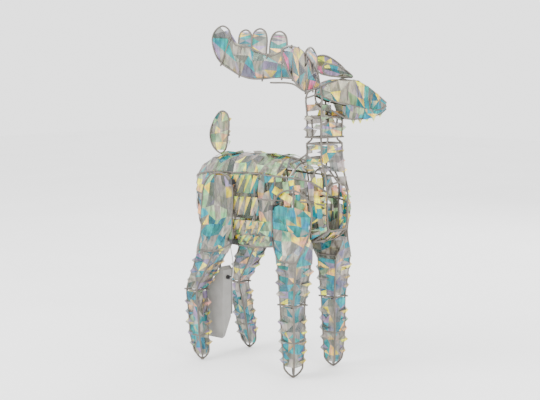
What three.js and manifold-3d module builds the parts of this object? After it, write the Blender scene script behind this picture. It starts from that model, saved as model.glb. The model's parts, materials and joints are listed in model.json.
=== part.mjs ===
// Light-up yard reindeer: welded wire cages wrapped in folded film ribbon, with a lift-off head,
// pull-off antlers, clip-on legs, an LED string and a battery box hung behind one hind leg.
// Millimetres, +Z up. Built with +X towards the chest and +Y towards the deer's left, then moved
// so that the origin lies on the ground under the middle of the object's box.
import * as THREE from 'three';
import { mergeVertices } from 'three/addons/utils/BufferGeometryUtils.js';
import Module from 'manifold-3d';

const wasm = await Module();
wasm.setup();

// ---------- driving dimensions ----------
const WIRE_R = 2.0;            // radius of the frame wire
const WIRE_SIDES = 4;          // sides of a frame wire's section
const FILM_IN = 2.8;           // film's inner face, from the wire's centre line
const FILM_OUT = 3.6;          // film's outer face, from the wire's centre line
const RING_INSET = 2.4;        // rings lie this far inside the long wires that they are welded to
const GAP = 0.4;               // clearance between neighbouring solids
const ORIGIN_X = 40.6;         // middle of the object's box along the body
const ORIGIN_Y = -76.5;        // middle of the object's box across the body

const LEG_OUT = 62.5;           // centre line of a hip or shoulder arch, from the deer's middle
const LEG_TOP = 240;           // height of the ring that closes a leg's cage
const FOOT_PAD_R = 5;
const FOOT_PAD_H = 4;

const NECK_X = 149;            // neck axis
const NECK_IN = { x: 12, y: 26 };        // half section of the body's neck post
const NECK_OUT = { x: 18.5, y: 32.5 };    // half section of the head's neck sleeve
const NECK_POST_TOP = 530;
const NECK_SHOULDER = 474;     // where the body's neck steps in to its post
const NECK_SPLIT = 487;        // bottom ring of the head's neck sleeve
const HEAD_YAW = THREE.MathUtils.degToRad(60);

const ANTLER_ROOT = { t: -14, s: 20, z: 560 };
const BOX_Y = { back: -38, rim: -13, door: -9 };

// ---------- colours ----------
const COLOURS = {
  wire: { color: 0x4a443c, roughness: 0.5, metalness: 0.7 },
  film: { color: 0xb9c4bb, roughness: 0.25, metalness: 0.0 },
  clip: { color: 0x0d0d0e, roughness: 0.5, metalness: 0.0 },
  case: { color: 0xa9a6a1, roughness: 0.45, metalness: 0.0 },
  seal: { color: 0x2a2a2b, roughness: 0.8, metalness: 0.0 },
  cell: { color: 0x8c6a35, roughness: 0.35, metalness: 0.5 },
  metal: { color: 0xb8b9bb, roughness: 0.3, metalness: 1.0 },
  board: { color: 0x2c6b3b, roughness: 0.5, metalness: 0.0 },
  lead: { color: 0xd8d8d4, roughness: 0.4, metalness: 0.0 },
};

// ---------- solids ----------
const deer = new THREE.Group();
deer.position.set(-ORIGIN_X, -ORIGIN_Y, 0);
const placed = new THREE.Group();
placed.add(deer);

function toSolid(geometry) {
  const bare = geometry.clone();
  bare.deleteAttribute('normal');
  bare.deleteAttribute('uv');
  const merged = mergeVertices(bare, 1e-4);
  return new wasm.Manifold(new wasm.Mesh({
    numProp: 3,
    vertProperties: new Float32Array(merged.attributes.position.array),
    triVerts: new Uint32Array(merged.index.array),
  }));
}

function toGeometry(solid) {
  const mesh = solid.getMesh();
  const geometry = new THREE.BufferGeometry();
  geometry.setAttribute('position', new THREE.BufferAttribute(mesh.vertProperties, 3));
  geometry.setIndex(new THREE.BufferAttribute(mesh.triVerts, 1));
  geometry.computeVertexNormals();
  return geometry;
}

function weld(solids) {
  return solids.reduce((sum, solid) => sum.add(solid));
}

function add(name, solid, look) {
  const mesh = new THREE.Mesh(toGeometry(solid), new THREE.MeshStandardMaterial(COLOURS[look]));
  mesh.name = name;
  deer.add(mesh);
}

const V = (x, y, z) => new THREE.Vector3(x, y, z);

function polygon(radius, sides) {
  const turn = (i) => ((i + 0.5) / sides) * 2 * Math.PI;
  const corner = (_, i) => new THREE.Vector2(radius * Math.cos(turn(i)), radius * Math.sin(turn(i)));
  return new THREE.Shape(Array.from({ length: sides }, corner));
}

// A smooth curve whose equal steps fall on its own points.
class WireCurve extends THREE.CatmullRomCurve3 {
  getUtoTmapping(u) {
    return u;
  }
}

// A tube of the given radius along a smooth curve through the points.
function tube(points, { radius = WIRE_R, sides = WIRE_SIDES, perSpan = 2 } = {}) {
  const straight = points.length === 2;
  const path = straight
    ? new THREE.LineCurve3(points[0], points[1])
    : new WireCurve(points, false, 'centripetal');
  const steps = straight ? 1 : perSpan * (points.length - 1);
  // the corners of a many-sided section sit outside its mean radius
  const reach = sides < 8 ? radius * 1.18 : radius;
  const shape = polygon(reach, sides);
  return toSolid(new THREE.ExtrudeGeometry(shape, { steps, extrudePath: path, bevelEnabled: false }));
}

// A closed wire loop of flat shape, with one step for each point.
function loop(points, radius = WIRE_R) {
  const n = points.length;
  const chord = (k, step) => points[(k + step + n) % n].clone().sub(points[k]).normalize();
  const flat = new THREE.Vector3();
  points.forEach((p, k) => flat.add(p.clone().cross(points[(k + 1) % n])));
  flat.normalize();
  const rows = points.map((p, k) => {
    const along = chord(k, 1).sub(chord(k, -1)).normalize();
    const across = along.clone().cross(flat).normalize();
    const corner = (i, j) => p.clone().addScaledVector(across, i * radius).addScaledVector(flat, j * radius);
    return [corner(-1, -1), corner(1, -1), corner(1, 1), corner(-1, 1)];
  });
  const faces = [];
  const at = (k, c) => (k % n) * 4 + (c % 4);
  for (let k = 0; k < n; k += 1) {
    for (let c = 0; c < 4; c += 1) {
      faces.push(at(k, c), at(k, c + 1), at(k + 1, c + 1), at(k, c), at(k + 1, c + 1), at(k + 1, c));
    }
  }
  return closedSolid(rows.flat(), faces);
}

// A solid from points and triangles, turned the right way out.
function closedSolid(points, faces) {
  const geometry = new THREE.BufferGeometry();
  const xyz = points.flatMap((p) => [p.x, p.y, p.z]);
  geometry.setAttribute('position', new THREE.BufferAttribute(new Float32Array(xyz), 3));
  geometry.setIndex(faces);
  const solid = toSolid(geometry);
  if (solid.volume() > 0) return solid;
  const turned = [];
  for (let k = 0; k < faces.length; k += 3) turned.push(faces[k], faces[k + 2], faces[k + 1]);
  geometry.setIndex(turned);
  return toSolid(geometry);
}

// A closed slab between two grids of points; wrap joins the last column to the first.
function slab(outer, inner, wrap = false) {
  const rows = outer.length;
  const cols = outer[0].length;
  const flat = [...outer.flat(), ...inner.flat()];
  const at = (side, i, j) => side * rows * cols + i * cols + (j % cols);
  const faces = [];
  const quad = (a, b, c, d) => faces.push(a, b, c, a, c, d);
  const lastCol = wrap ? cols : cols - 1;
  for (let i = 0; i < rows - 1; i += 1) {
    for (let j = 0; j < lastCol; j += 1) {
      quad(at(0, i, j), at(0, i, j + 1), at(0, i + 1, j + 1), at(0, i + 1, j));
      quad(at(1, i, j), at(1, i + 1, j), at(1, i + 1, j + 1), at(1, i, j + 1));
    }
    if (!wrap) {
      quad(at(0, i, 0), at(0, i + 1, 0), at(1, i + 1, 0), at(1, i, 0));
      quad(at(0, i, cols - 1), at(1, i, cols - 1), at(1, i + 1, cols - 1), at(0, i + 1, cols - 1));
    }
  }
  for (let j = 0; j < lastCol; j += 1) {
    quad(at(0, 0, j), at(1, 0, j), at(1, 0, j + 1), at(0, 0, j + 1));
    quad(at(0, rows - 1, j), at(0, rows - 1, j + 1), at(1, rows - 1, j + 1), at(1, rows - 1, j));
  }
  return closedSolid(flat, faces);
}

function block(low, high) {
  const size = high.clone().sub(low);
  const box = new THREE.BoxGeometry(size.x, size.y, size.z);
  const middle = low.clone().add(high).multiplyScalar(0.5);
  box.translate(middle.x, middle.y, middle.z);
  return toSolid(box);
}

// A cylinder from one point to another.
function rod(from, to, radius, sides = 12) {
  const length = from.distanceTo(to);
  const cylinder = new THREE.CylinderGeometry(radius, radius, length, sides);
  const along = to.clone().sub(from).normalize();
  cylinder.applyQuaternion(new THREE.Quaternion().setFromUnitVectors(V(0, 1, 0), along));
  const middle = from.clone().add(to).multiplyScalar(0.5);
  cylinder.translate(middle.x, middle.y, middle.z);
  return toSolid(cylinder);
}

// Values of a row of stations, read off by straight lines between them.
function between(stations, key, at) {
  const after = Math.max(1, stations.findIndex((s, i) => i > 0 && (at <= s[0] || i === stations.length - 1)));
  const [a, b] = [stations[after - 1], stations[after]];
  const f = (at - a[0]) / (b[0] - a[0]);
  return a[key] + f * (b[key] - a[key]);
}

// ---------- torso ----------
// x, half width, top height, bottom height
const TORSO = [
  [-187, 22, 394, 334],
  [-168, 42, 419, 292],
  [-142, 50, 432, 268],
  [-110, 52, 440, 257],
  [-48, 53, 443, 251],
  [7, 53, 445, 252],
  [64, 53, 440, 258],
  [105, 52, 437, 266],
  [150, 47, 428, 276],
  [184, 34, 398, 300],
];
// half of the torso's section, from the back to the belly, in parts of its half width and height
const SECTION = [[0, 1], [0.6, 0.93], [1, 0.62], [1.04, 0.08], [1, -0.6], [0.84, -0.97], [0, -1.02]];
const RING_STATIONS = [-166, -110, -48, 7, 64, 105, 150];
const WIRE_LINES = [0, 2, 3, 5];

// line may fall between two corners of the section
function torsoPoint(x, line, side, out = 0) {
  const half = between(TORSO, 1, x) + out;
  const top = between(TORSO, 2, x) + out;
  const bottom = between(TORSO, 3, x) - out;
  const corner = Math.min(Math.floor(line), SECTION.length - 2);
  const [across, up] = SECTION[corner].map((v, k) => v + (line - corner) * (SECTION[corner + 1][k] - v));
  return V(x, side * half * across, (top + bottom) / 2 + ((top - bottom) / 2) * up);
}

function torsoRing(x, out = 0) {
  const right = SECTION.map((_, line) => torsoPoint(x, line, -1, out));
  const left = SECTION.map((_, line) => torsoPoint(x, line, 1, out)).slice(1, -1).reverse();
  return [...right, ...left];
}

// The neck is as wide as the head's sleeve up to its shoulder, where it steps in to the post.
function neckPost() {
  const { x, y } = NECK_IN;
  const wires = [];
  for (const side of [-1, 1]) {
    const wide = (i, z) => V(NECK_X + i * NECK_OUT.x, side * NECK_OUT.y, z);
    const post = (i, z) => V(NECK_X + i * x, side * y, z);
    const step = NECK_SHOULDER + 9;
    const top = (i) => [wide(i, 466), wide(i, NECK_SHOULDER), post(i, step), post(i, NECK_POST_TOP)];
    wires.push(tube([torsoPoint(90, 1, side), V(114, side * 31, 444), ...top(-1)], { perSpan: 1 }));
    const front = [torsoPoint(184, 2, side), V(176, side * 31, 412), wide(1, 440)];
    wires.push(tube([...front, ...top(1)], { perSpan: 1 }));
    wires.push(tube([torsoPoint(NECK_X - NECK_OUT.x, 1, side), wide(-1, 462)]));
  }
  const ring = (half, z) => squareRing(NECK_X, 0, half.x - RING_INSET, half.y - RING_INSET, z);
  const rings = [ring(NECK_OUT, 446), ring(NECK_OUT, NECK_SHOULDER), ring(NECK_IN, NECK_POST_TOP - 4)];
  return weld([...wires, ...rings]);
}

// A square wire ring round four upright wires.
function squareRing(cx, cy, halfX, halfY, z) {
  const corner = (i, j) => V(cx + i * halfX, cy + j * halfY, z);
  const corners = [corner(-1, -1), corner(1, -1), corner(1, 1), corner(-1, 1)];
  return loop(corners);
}

function torsoFrame() {
  const stations = [TORSO[0][0] + 1, ...RING_STATIONS, TORSO.at(-1)[0] - 1];
  const wires = stations.map((x) => loop(torsoRing(x, -RING_INSET)));
  for (const line of WIRE_LINES) {
    for (const side of line === 0 ? [1] : [-1, 1]) {
      wires.push(tube(TORSO.map(([x]) => torsoPoint(x, line, side)), { perSpan: 1 }));
    }
  }
  wires.push(neckPost());
  return weld(wires);
}

// Each patch of film: its stations and the lines that it crosses, minus for the deer's right.
const BODY_FILM = {
  right: { xs: [-160, -142, -110, -48, 7, 64, 105, 146], lines: [-2.05, -3, -4, -4.97] },
  left: { xs: [-160, -142, -110, -48, 7, 64, 105, 146], lines: [2.05, 3, 4, 4.97] },
  back: { xs: [-158, -142, -110, -48, 7, 64, 82], lines: [-1.95, -1, 0, 1, 1.95] },
  belly: { xs: [-94, -48, 7, 64, 100], lines: [-5.03, -6, 5.03] },
  // the back end is steep, so its film stands off further
  rump: { lift: 1.7, xs: [-183, -168], lines: [-1, -2, -3, -4, -5, -6, 5, 4, 3, 2, 1, 0, -1] },
  chest: { xs: [150, 166, 180], lines: [-2.6, -3, -4, -5, -6, 5, 4, 3, 2.6] },
};

function torsoFilm({ xs, lines, lift = 1 }) {
  const at = (x, line, out) => torsoPoint(x, Math.abs(line), Math.sign(line) || 1, out * lift);
  const row = (x, out) => lines.map((line) => at(x, line, out));
  const closed = lines[0] === lines.at(-1);
  const rows = (out) => xs.map((x) => (closed ? row(x, out).slice(0, -1) : row(x, out)));
  return slab(rows(FILM_OUT), rows(FILM_IN), closed);
}

function buildBodyFilm() {
  for (const [word, patch] of Object.entries(BODY_FILM)) {
    let film = torsoFilm(patch);
    const side = { right: -1, left: 1 }[word];
    if (side) {
      for (const [x, z] of Object.values(CLIPS).flat()) film = film.subtract(clipBlock(x, z, side, GAP));
    }
    add(`torso_ribbon_${word}`, film, 'film');
  }
}

// ---------- clips ----------
// x and height of each clip on a hip or shoulder arch; each holds an arch wire to a torso ring
const CLIPS = { hind: [[-48, 388], [-48, 262]], front: [[64, 342], [64, 278]] };
const CLIP_HALF = { x: 4.6, z: 5 };

function clipBlock(x, z, side, grow = 0) {
  const inner = torsoPoint(x, 3, side, -RING_INSET).y - side * (WIRE_R + 2.2 + grow);
  const outer = side * (LEG_OUT + WIRE_R + 2.2 + grow);
  const low = V(x - CLIP_HALF.x - grow, Math.min(inner, outer), z - CLIP_HALF.z - grow);
  const high = V(x + CLIP_HALF.x + grow, Math.max(inner, outer), z + CLIP_HALF.z + grow);
  return block(low, high);
}

// ---------- legs ----------
// height, centre x, centre |y|, half width of the cage
const LEGS = {
  front: [[12, 123.5, 65.2, 11], [20, 123.5, 65.3, 13], [75, 123.5, 66, 16], [150, 121.5, 66, 17.5],
    [LEG_TOP, 124.5, 64, 24]],
  hind: [[12, -124, 75.4, 9], [20, -126, 75.4, 11], [55, -133.5, 75, 13.5], [150, -148, 67, 15],
    [LEG_TOP, -100, 65.5, 22]],
};
// the arch wire over each hip and shoulder: x and height on the torso's side
const ARCHES = {
  front: [[64, 278], [64, 300], [65, 346], [84, 372], [120, 381], [148, 371], [166, 350], [160, 292]],
  hind: [[-48, 262], [-48, 300], [-49, 388], [-66, 402], [-96, 404], [-122, 388], [-135, 345], [-137, 290]],
};
// the upright wire inside each arch: x at the top of the leg's cage, then x and height on the arch
const ARCH_RIBS = { front: [124.5, 120, 381], hind: [-100, -96, 404] };
const RINGS = { front: [75, 150, LEG_TOP], hind: [55, 150, LEG_TOP] };

function legCorner(kind, side, z, i, j, out = 0) {
  const stations = LEGS[kind];
  const half = between(stations, 3, z) + out;
  return V(between(stations, 1, z) + i * half, side * between(stations, 2, z) + j * half, z);
}

function legFrame(kind, side) {
  const stations = LEGS[kind];
  const foot = V(stations[0][1], side * stations[0][2], FOOT_PAD_H - 1);
  const heights = stations.map(([z]) => z);
  const wires = [];
  for (const i of [-1, 1]) {
    for (const j of [-1, 1]) {
      const corners = heights.map((z) => legCorner(kind, side, z, i, j));
      const start = foot.clone().add(V(i * 2, j * 2, 0));
      wires.push(tube([start, ...corners], { perSpan: 1 }));
    }
  }
  for (const z of RINGS[kind]) {
    const half = between(stations, 3, z) - RING_INSET;
    wires.push(squareRing(between(stations, 1, z), side * between(stations, 2, z), half, half, z));
  }
  wires.push(archWire(kind, side));
  const [ribX, topX, topZ] = ARCH_RIBS[kind];
  const edge = between(stations, 2, LEG_TOP) + between(stations, 3, LEG_TOP) - RING_INSET;
  const rib = [V(ribX, side * edge, LEG_TOP), V(topX, side * LEG_OUT, 278), V(topX, side * LEG_OUT, topZ)];
  wires.push(tube(rib, { perSpan: 1 }));
  const pad = rod(V(foot.x, foot.y, 0), V(foot.x, foot.y, FOOT_PAD_H), FOOT_PAD_R);
  wires.push(pad);
  return weld(wires);
}

function archWire(kind, side, options) {
  const arch = ARCHES[kind].map(([x, z]) => V(x, side * LEG_OUT, z));
  const first = kind === 'front' ? -1 : 1;
  const ends = [first, -first].map((i) => legCorner(kind, side, LEG_TOP, i, side));
  return tube([ends[0], ...arch, ends[1]], { perSpan: 1, ...options });
}

function legSleeve(kind, side, heights) {
  const around = [[-1, -1], [1, -1], [1, 1], [-1, 1]];
  const ring = (z, out) => around.map(([i, j]) => legCorner(kind, side, z, i, j, out));
  return slab(heights.map((z) => ring(z, FILM_OUT)), heights.map((z) => ring(z, FILM_IN)), true);
}

// The flat of film that covers a hip or shoulder arch.
function archFilm(kind, side) {
  const outline = ARCHES[kind].map(([x, z]) => new THREE.Vector2(x, z));
  const shape = new THREE.Shape(outline);
  const thick = FILM_OUT - FILM_IN;
  const plate = new THREE.ExtrudeGeometry(shape, { depth: thick, bevelEnabled: false });
  plate.rotateX(Math.PI / 2);
  const near = side * (LEG_OUT + FILM_IN);
  plate.translate(0, side > 0 ? near + thick : near, 0);
  return toSolid(plate);
}

function buildLegs() {
  for (const kind of ['front', 'hind']) {
    for (const [word, side] of [['right', -1], ['left', 1]]) {
      const name = `leg_${kind}_${word}`;
      const frame = legFrame(kind, side);
      add(`${name}_frame`, frame, 'wire');
      const knee = RINGS[kind][1];
      add(`${name}_lower_ribbon`, legSleeve(kind, side, [14, 20, RINGS[kind][0], knee - 6]), 'film');
      add(`${name}_upper_ribbon`, legSleeve(kind, side, [knee + 6, LEG_TOP - 7]), 'film');
      let hip = archFilm(kind, side);
      for (const [x, z] of CLIPS[kind]) hip = hip.subtract(clipBlock(x, z, side, GAP));
      add(`${name}_${kind === 'front' ? 'shoulder' : 'hip'}_ribbon`, hip, 'film');
    }
  }
}

function buildClips() {
  for (const kind of ['front', 'hind']) {
    for (const [word, side] of [['right', -1], ['left', 1]]) {
      CLIPS[kind].forEach(([x, z], k) => {
        const bore = WIRE_R + 0.5;
        const clip = clipBlock(x, z, side)
          .subtract(loop(torsoRing(x, -RING_INSET), bore))
          .subtract(archWire(kind, side, { radius: bore }));
        add(`clip_${kind}_${word}_${k + 1}`, clip, 'clip');
      });
    }
  }
}

// ---------- tail ----------
// outline of the upright leaf, on the deer's middle plane
const TAIL = [[-152, 446], [-166, 461], [-170, 484], [-159, 509], [-144, 527], [-132, 531], [-119, 525],
  [-114, 507], [-117, 480], [-124, 450]];

function leafPlate(points, place, inset) {
  const middle = points.reduce((sum, p) => sum.add(p), new THREE.Vector2()).divideScalar(points.length);
  const pulled = points.map((p) => p.clone().sub(middle).multiplyScalar(inset).add(middle));
  const shape = new THREE.Shape();
  shape.moveTo(pulled[0].x, pulled[0].y);
  pulled.slice(1).forEach((p) => shape.lineTo(p.x, p.y));
  const thick = FILM_OUT - FILM_IN;
  const plate = new THREE.ExtrudeGeometry(shape, { depth: thick, bevelEnabled: false });
  plate.applyMatrix4(place);
  return toSolid(plate);
}

function buildTail() {
  const wire = TAIL.map(([x, z]) => V(x, 0, z));
  const foot = torsoPoint(-137, 0, 1, FILM_OUT);
  const frame = weld([
    loop([...wire, V(foot.x, 0, foot.z + WIRE_R * 1.5 + GAP)]),
    tube([wire[2], wire[8]]),
  ]);
  add('tail_frame', frame, 'wire');
  const upright = new THREE.Matrix4().makeRotationX(Math.PI / 2).setPosition(0, -FILM_IN, 0);
  add('tail_ribbon', leafPlate(TAIL.map(([x, z]) => new THREE.Vector2(x, z)), upright, 0.97), 'film');
}

// ---------- head ----------
// t runs along the head from the neck axis to the nose:
// t, top height, top half width, middle height, middle half width, bottom height, bottom half width
const HEAD = [
  [-14, 588, 15, 570, 22, 554, 15],
  [12, 598, 22, 558, 28, 538, 21],
  [38, 600, 24, 552, 28, 525, 20],
  [62, 597, 22, 547, 25, 523, 18],
  [90, 583, 17, 542, 19, 525, 13],
  [114, 567, 11, 541, 13, 531, 9],
  [132, 554, 5, 547, 6, 541, 4],
];
const HEAD_RINGS = [-13, 38, 62, 90, 114, 131];
const alongHead = V(Math.cos(HEAD_YAW), Math.sin(HEAD_YAW), 0);
const acrossHead = V(Math.sin(HEAD_YAW), -Math.cos(HEAD_YAW), 0);

function headPlace(t, s, z) {
  return V(NECK_X, 0, z).addScaledVector(alongHead, t).addScaledVector(acrossHead, s);
}

// level 0, 1 and 2 are the top, middle and bottom wires of the head
function headPoint(t, level, side, out = 0) {
  const z = between(HEAD, 1 + 2 * level, t);
  const lift = [out, 0, -out][level];
  return headPlace(t, side * (between(HEAD, 2 + 2 * level, t) + out), z + lift);
}

function headRing(t, out = 0) {
  const near = [0, 1, 2].map((level) => headPoint(t, level, 1, out));
  const far = [2, 1, 0].map((level) => headPoint(t, level, -1, out));
  return [...near, ...far];
}

// The head's neck sleeve: upright i, j = -1 or 1 on X and Y.
function sleeveCorner(i, j, z, out = 0) {
  return V(NECK_X + i * (NECK_OUT.x + out), j * (NECK_OUT.y + out), z);
}

function headFrame() {
  const wires = HEAD_RINGS.map((t) => loop(headRing(t, -RING_INSET)));
  for (const side of [-1, 1]) {
    for (const level of [0, 1, 2]) {
      wires.push(tube(HEAD.map(([t]) => headPoint(t, level, side)), { perSpan: 1 }));
    }
  }
  const tops = [
    [[-1, -1], sleeveCorner(-1, -1, 574), headPoint(-14, 0, 1)],
    [[1, -1], headPoint(-14, 1, 1)],
    [[1, 1], headPoint(38, 2, -1)],
    [[-1, 1], headPoint(12, 1, -1)],
  ];
  for (const [[i, j], ...top] of tops) {
    wires.push(tube([sleeveCorner(i, j, NECK_SPLIT), sleeveCorner(i, j, 528), ...top], { perSpan: 1 }));
  }
  const ring = { x: NECK_OUT.x - RING_INSET, y: NECK_OUT.y - RING_INSET };
  for (const z of [NECK_SPLIT, 528]) wires.push(squareRing(NECK_X, 0, ring.x, ring.y, z));
  for (const { side, socket } of Object.values(ANTLERS)) {
    const plug = socket.map(([u, v]) => antlerPoint(side, u, v));
    wires.push(tube([headPoint(-14, 0, side), ...plug], { perSpan: 1 }));
  }
  return weld(wires);
}

function headFilm(stations) {
  return slab(stations.map((t) => headRing(t, FILM_OUT)), stations.map((t) => headRing(t, FILM_IN)), true);
}

function neckFilm(heights) {
  const around = [[-1, -1], [1, -1], [1, 1], [-1, 1]];
  const ring = (z, out) => around.map(([i, j]) => sleeveCorner(i, j, z, out));
  return slab(heights.map((z) => ring(z, FILM_OUT)), heights.map((z) => ring(z, FILM_IN)), true);
}

// ---------- antlers ----------
// Each antler is a flat palm of bent wire. u runs outwards along the palm and v runs up it.
const ANTLER_BACK = 136;
const ANTLER_SPREAD = 175;
const ANTLER_LEAN = 4;         // degrees that each palm leans outwards from upright
// The two palms are bent by hand, so they differ. Points are [u, v] from the antler's root.
const ANTLERS = {
  right: {
    side: 1,
    palm: [[26, 32], [70, 24], [117, 22], [160, 34], [202, 48], [242, 70], [264, 86], [270, 98], [253, 103],
      [219, 105], [178, 102], [130, 92], [79, 73], [40, 54]],
    tines: [[[128, 90], [117, 99], [92, 104], [66, 96], [50, 84], [46, 58]]],
    ribs: [[[202, 48], [219, 105]], [[160, 34], [178, 102]], [[117, 22], [130, 92]], [[70, 24], [79, 73]]],
    socket: [[14, 12], [28, 14], [54, 12], [108, 8]],
  },
  left: {
    side: -1,
    palm: [[38, 46], [95, 45], [127, 42], [157, 42], [186, 49], [209, 60], [233, 73], [250, 92], [260, 124],
      [253, 142], [235, 152], [218, 144], [211, 127], [200, 113], [184, 108], [166, 107], [141, 97], [118, 90],
      [98, 91], [80, 98], [58, 92], [42, 78], [33, 60]],
    tines: [tineArch(176, 106, 32, 37, 0), tineArch(140, 96, 36, 49, 0), tineArch(94, 92, 40, 47, -4)],
    ribs: [[[233, 73], [211, 127]], [[186, 49], [184, 108]], [[127, 42], [118, 90]], [[80, 45], [80, 98]]],
    socket: [[14, 17], [28, 19], [54, 32], [108, 34]],
  },
};

function antlerAxes(side) {
  const away = alongHead.clone().multiplyScalar(-ANTLER_BACK);
  const u = away.addScaledVector(acrossHead, side * ANTLER_SPREAD).normalize();
  const outward = V(u.y, -u.x, 0).multiplyScalar(-side);
  const lean = THREE.MathUtils.degToRad(ANTLER_LEAN);
  const v = V(0, 0, Math.cos(lean)).addScaledVector(outward, Math.sin(lean));
  return { u, v, w: u.clone().cross(v) };
}

function antlerPoint(side, u, v, w = 0) {
  const axes = antlerAxes(side);
  const root = headPlace(ANTLER_ROOT.t, side * ANTLER_ROOT.s, ANTLER_ROOT.z);
  return root.addScaledVector(axes.u, u).addScaledVector(axes.v, v).addScaledVector(axes.w, w);
}

// A tine: an arch that leaves the palm, rounds over and comes back.
function tineArch(u, v, width, height, turn) {
  const half = width / 2;
  const arch = [[half, -6], [half, height - half], [half * 0.7, height - half * 0.3], [0, height],
    [-half * 0.7, height - half * 0.3], [-half, height - half], [-half, -6]];
  const a = THREE.MathUtils.degToRad(turn);
  return arch.map(([x, y]) => [u + x * Math.cos(a) + y * Math.sin(a), v - x * Math.sin(a) + y * Math.cos(a)]);
}

function buildAntlers() {
  for (const [word, { side, palm, tines, ribs }] of Object.entries(ANTLERS)) {
    const on = (points) => points.map(([u, v]) => antlerPoint(side, u, v));
    const frame = weld([
      loop(on(palm)),
      ...tines.map((tine) => tube(on(tine), { perSpan: 1 })),
      ...ribs.map((rib) => tube(on(rib))),
    ]);
    add(`antler_${word}_frame`, frame, 'wire');
    const axes = antlerAxes(side);
    const place = new THREE.Matrix4().makeBasis(axes.u, axes.v, axes.w);
    place.setPosition(antlerPoint(side, 0, 0, FILM_IN));
    add(`antler_${word}_ribbon`, leafPlate(palm.map(([u, v]) => new THREE.Vector2(u, v)), place, 1), 'film');
  }
}

// ---------- ears ----------
const EAR_ROOT = { t: 56, s: 9, z: 606.5 };
const EAR_BACK = 60;
const EAR = [[0, 0], [8, 16], [28, 37], [52, 51], [70, 47], [73, 30], [64, 10], [42, 3], [18, 0]];
// how far each ear spreads sideways over its length, and its height against the outline
const EARS = { right: { side: 1, spread: 15, rise: 0.5 }, left: { side: -1, spread: 50, rise: 0.84 } };

function buildEars() {
  for (const [word, { side, spread, rise }] of Object.entries(EARS)) {
    const away = alongHead.clone().multiplyScalar(-EAR_BACK).addScaledVector(acrossHead, side * spread);
    const u = away.normalize();
    const root = headPlace(EAR_ROOT.t, side * EAR_ROOT.s, EAR_ROOT.z);
    const wire = EAR.map(([along, up]) => root.clone().addScaledVector(u, along).add(V(0, 0, up * rise)));
    add(`ear_${word}_frame`, loop(wire), 'wire');
    const normal = u.clone().cross(V(0, 0, 1));
    const place = new THREE.Matrix4().makeBasis(u, V(0, 0, 1), normal);
    place.setPosition(root.clone().addScaledVector(normal, FILM_IN));
    const outline = EAR.map(([x, z]) => new THREE.Vector2(x, z * rise));
    add(`ear_${word}_ribbon`, leafPlate(outline, place, 1), 'film');
  }
}

// ---------- battery box ----------
// outline of the case seen from the deer's right, x and height
const CASE = [[-158, 46], [-155, 43], [-102, 43], [-98, 48], [-97, 192], [-104, 200], [-158, 132]];
const DOOR = [[-158, 93], [-97, 93], [-97, 192], [-104, 200], [-158, 132]];
const CASE_WALL = 2.2;
// the case's lower inner corner is cut off along a slope: y and height of its two edges
const SLOPE = { outer: [-34, 43], inner: [-13, 88] };
const DOOR_SCREW = { x: -150.3, z: 100 };
const BUTTON = { x: -140, z: 154.7, y: -25, r: 4.2, out: 4 };
const CELL = { r: 7.1, length: 50, x: [-138, -123.3, -108.6], z: 91 };
const GLAND = { y: -25, z: 176 };

// An outline moved inwards by a distance, corner by corner.
function inwards(outline, distance) {
  const n = outline.length;
  return outline.map(([x, z], k) => {
    const [px, pz] = outline[(k + n - 1) % n];
    const [qx, qz] = outline[(k + 1) % n];
    const before = new THREE.Vector2(-(z - pz), x - px).normalize();
    const after = new THREE.Vector2(-(qz - z), qx - x).normalize();
    const bisector = before.clone().add(after).normalize();
    const reach = distance / bisector.dot(before);
    return [x + bisector.x * reach, z + bisector.y * reach];
  });
}

// A plate of the outline, from one y to another.
function plateY(outline, from, to) {
  const shape = new THREE.Shape(outline.map(([x, z]) => new THREE.Vector2(x, z)));
  const plate = new THREE.ExtrudeGeometry(shape, { depth: to - from, bevelEnabled: false });
  plate.rotateX(Math.PI / 2);
  plate.translate(0, to, 0);
  return toSolid(plate);
}

// Everything past the case's slope, moved inwards by a distance.
function pastSlope(distance) {
  const [y0, z0] = SLOPE.outer;
  const [y1, z1] = SLOPE.inner;
  const along = new THREE.Vector2(y1 - y0, z1 - z0).normalize();
  const a = new THREE.Vector2(y0 - along.y * distance, z0 + along.x * distance).addScaledVector(along, -40);
  const b = a.clone().addScaledVector(along, 140);
  const shape = new THREE.Shape([a, b, new THREE.Vector2(60, b.y), new THREE.Vector2(60, a.y)]);
  const wedge = new THREE.ExtrudeGeometry(shape, { depth: 100, bevelEnabled: false });
  wedge.rotateX(Math.PI / 2);
  wedge.rotateZ(Math.PI / 2);
  wedge.translate(-180, 0, 0);
  return toSolid(wedge);
}

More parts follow.
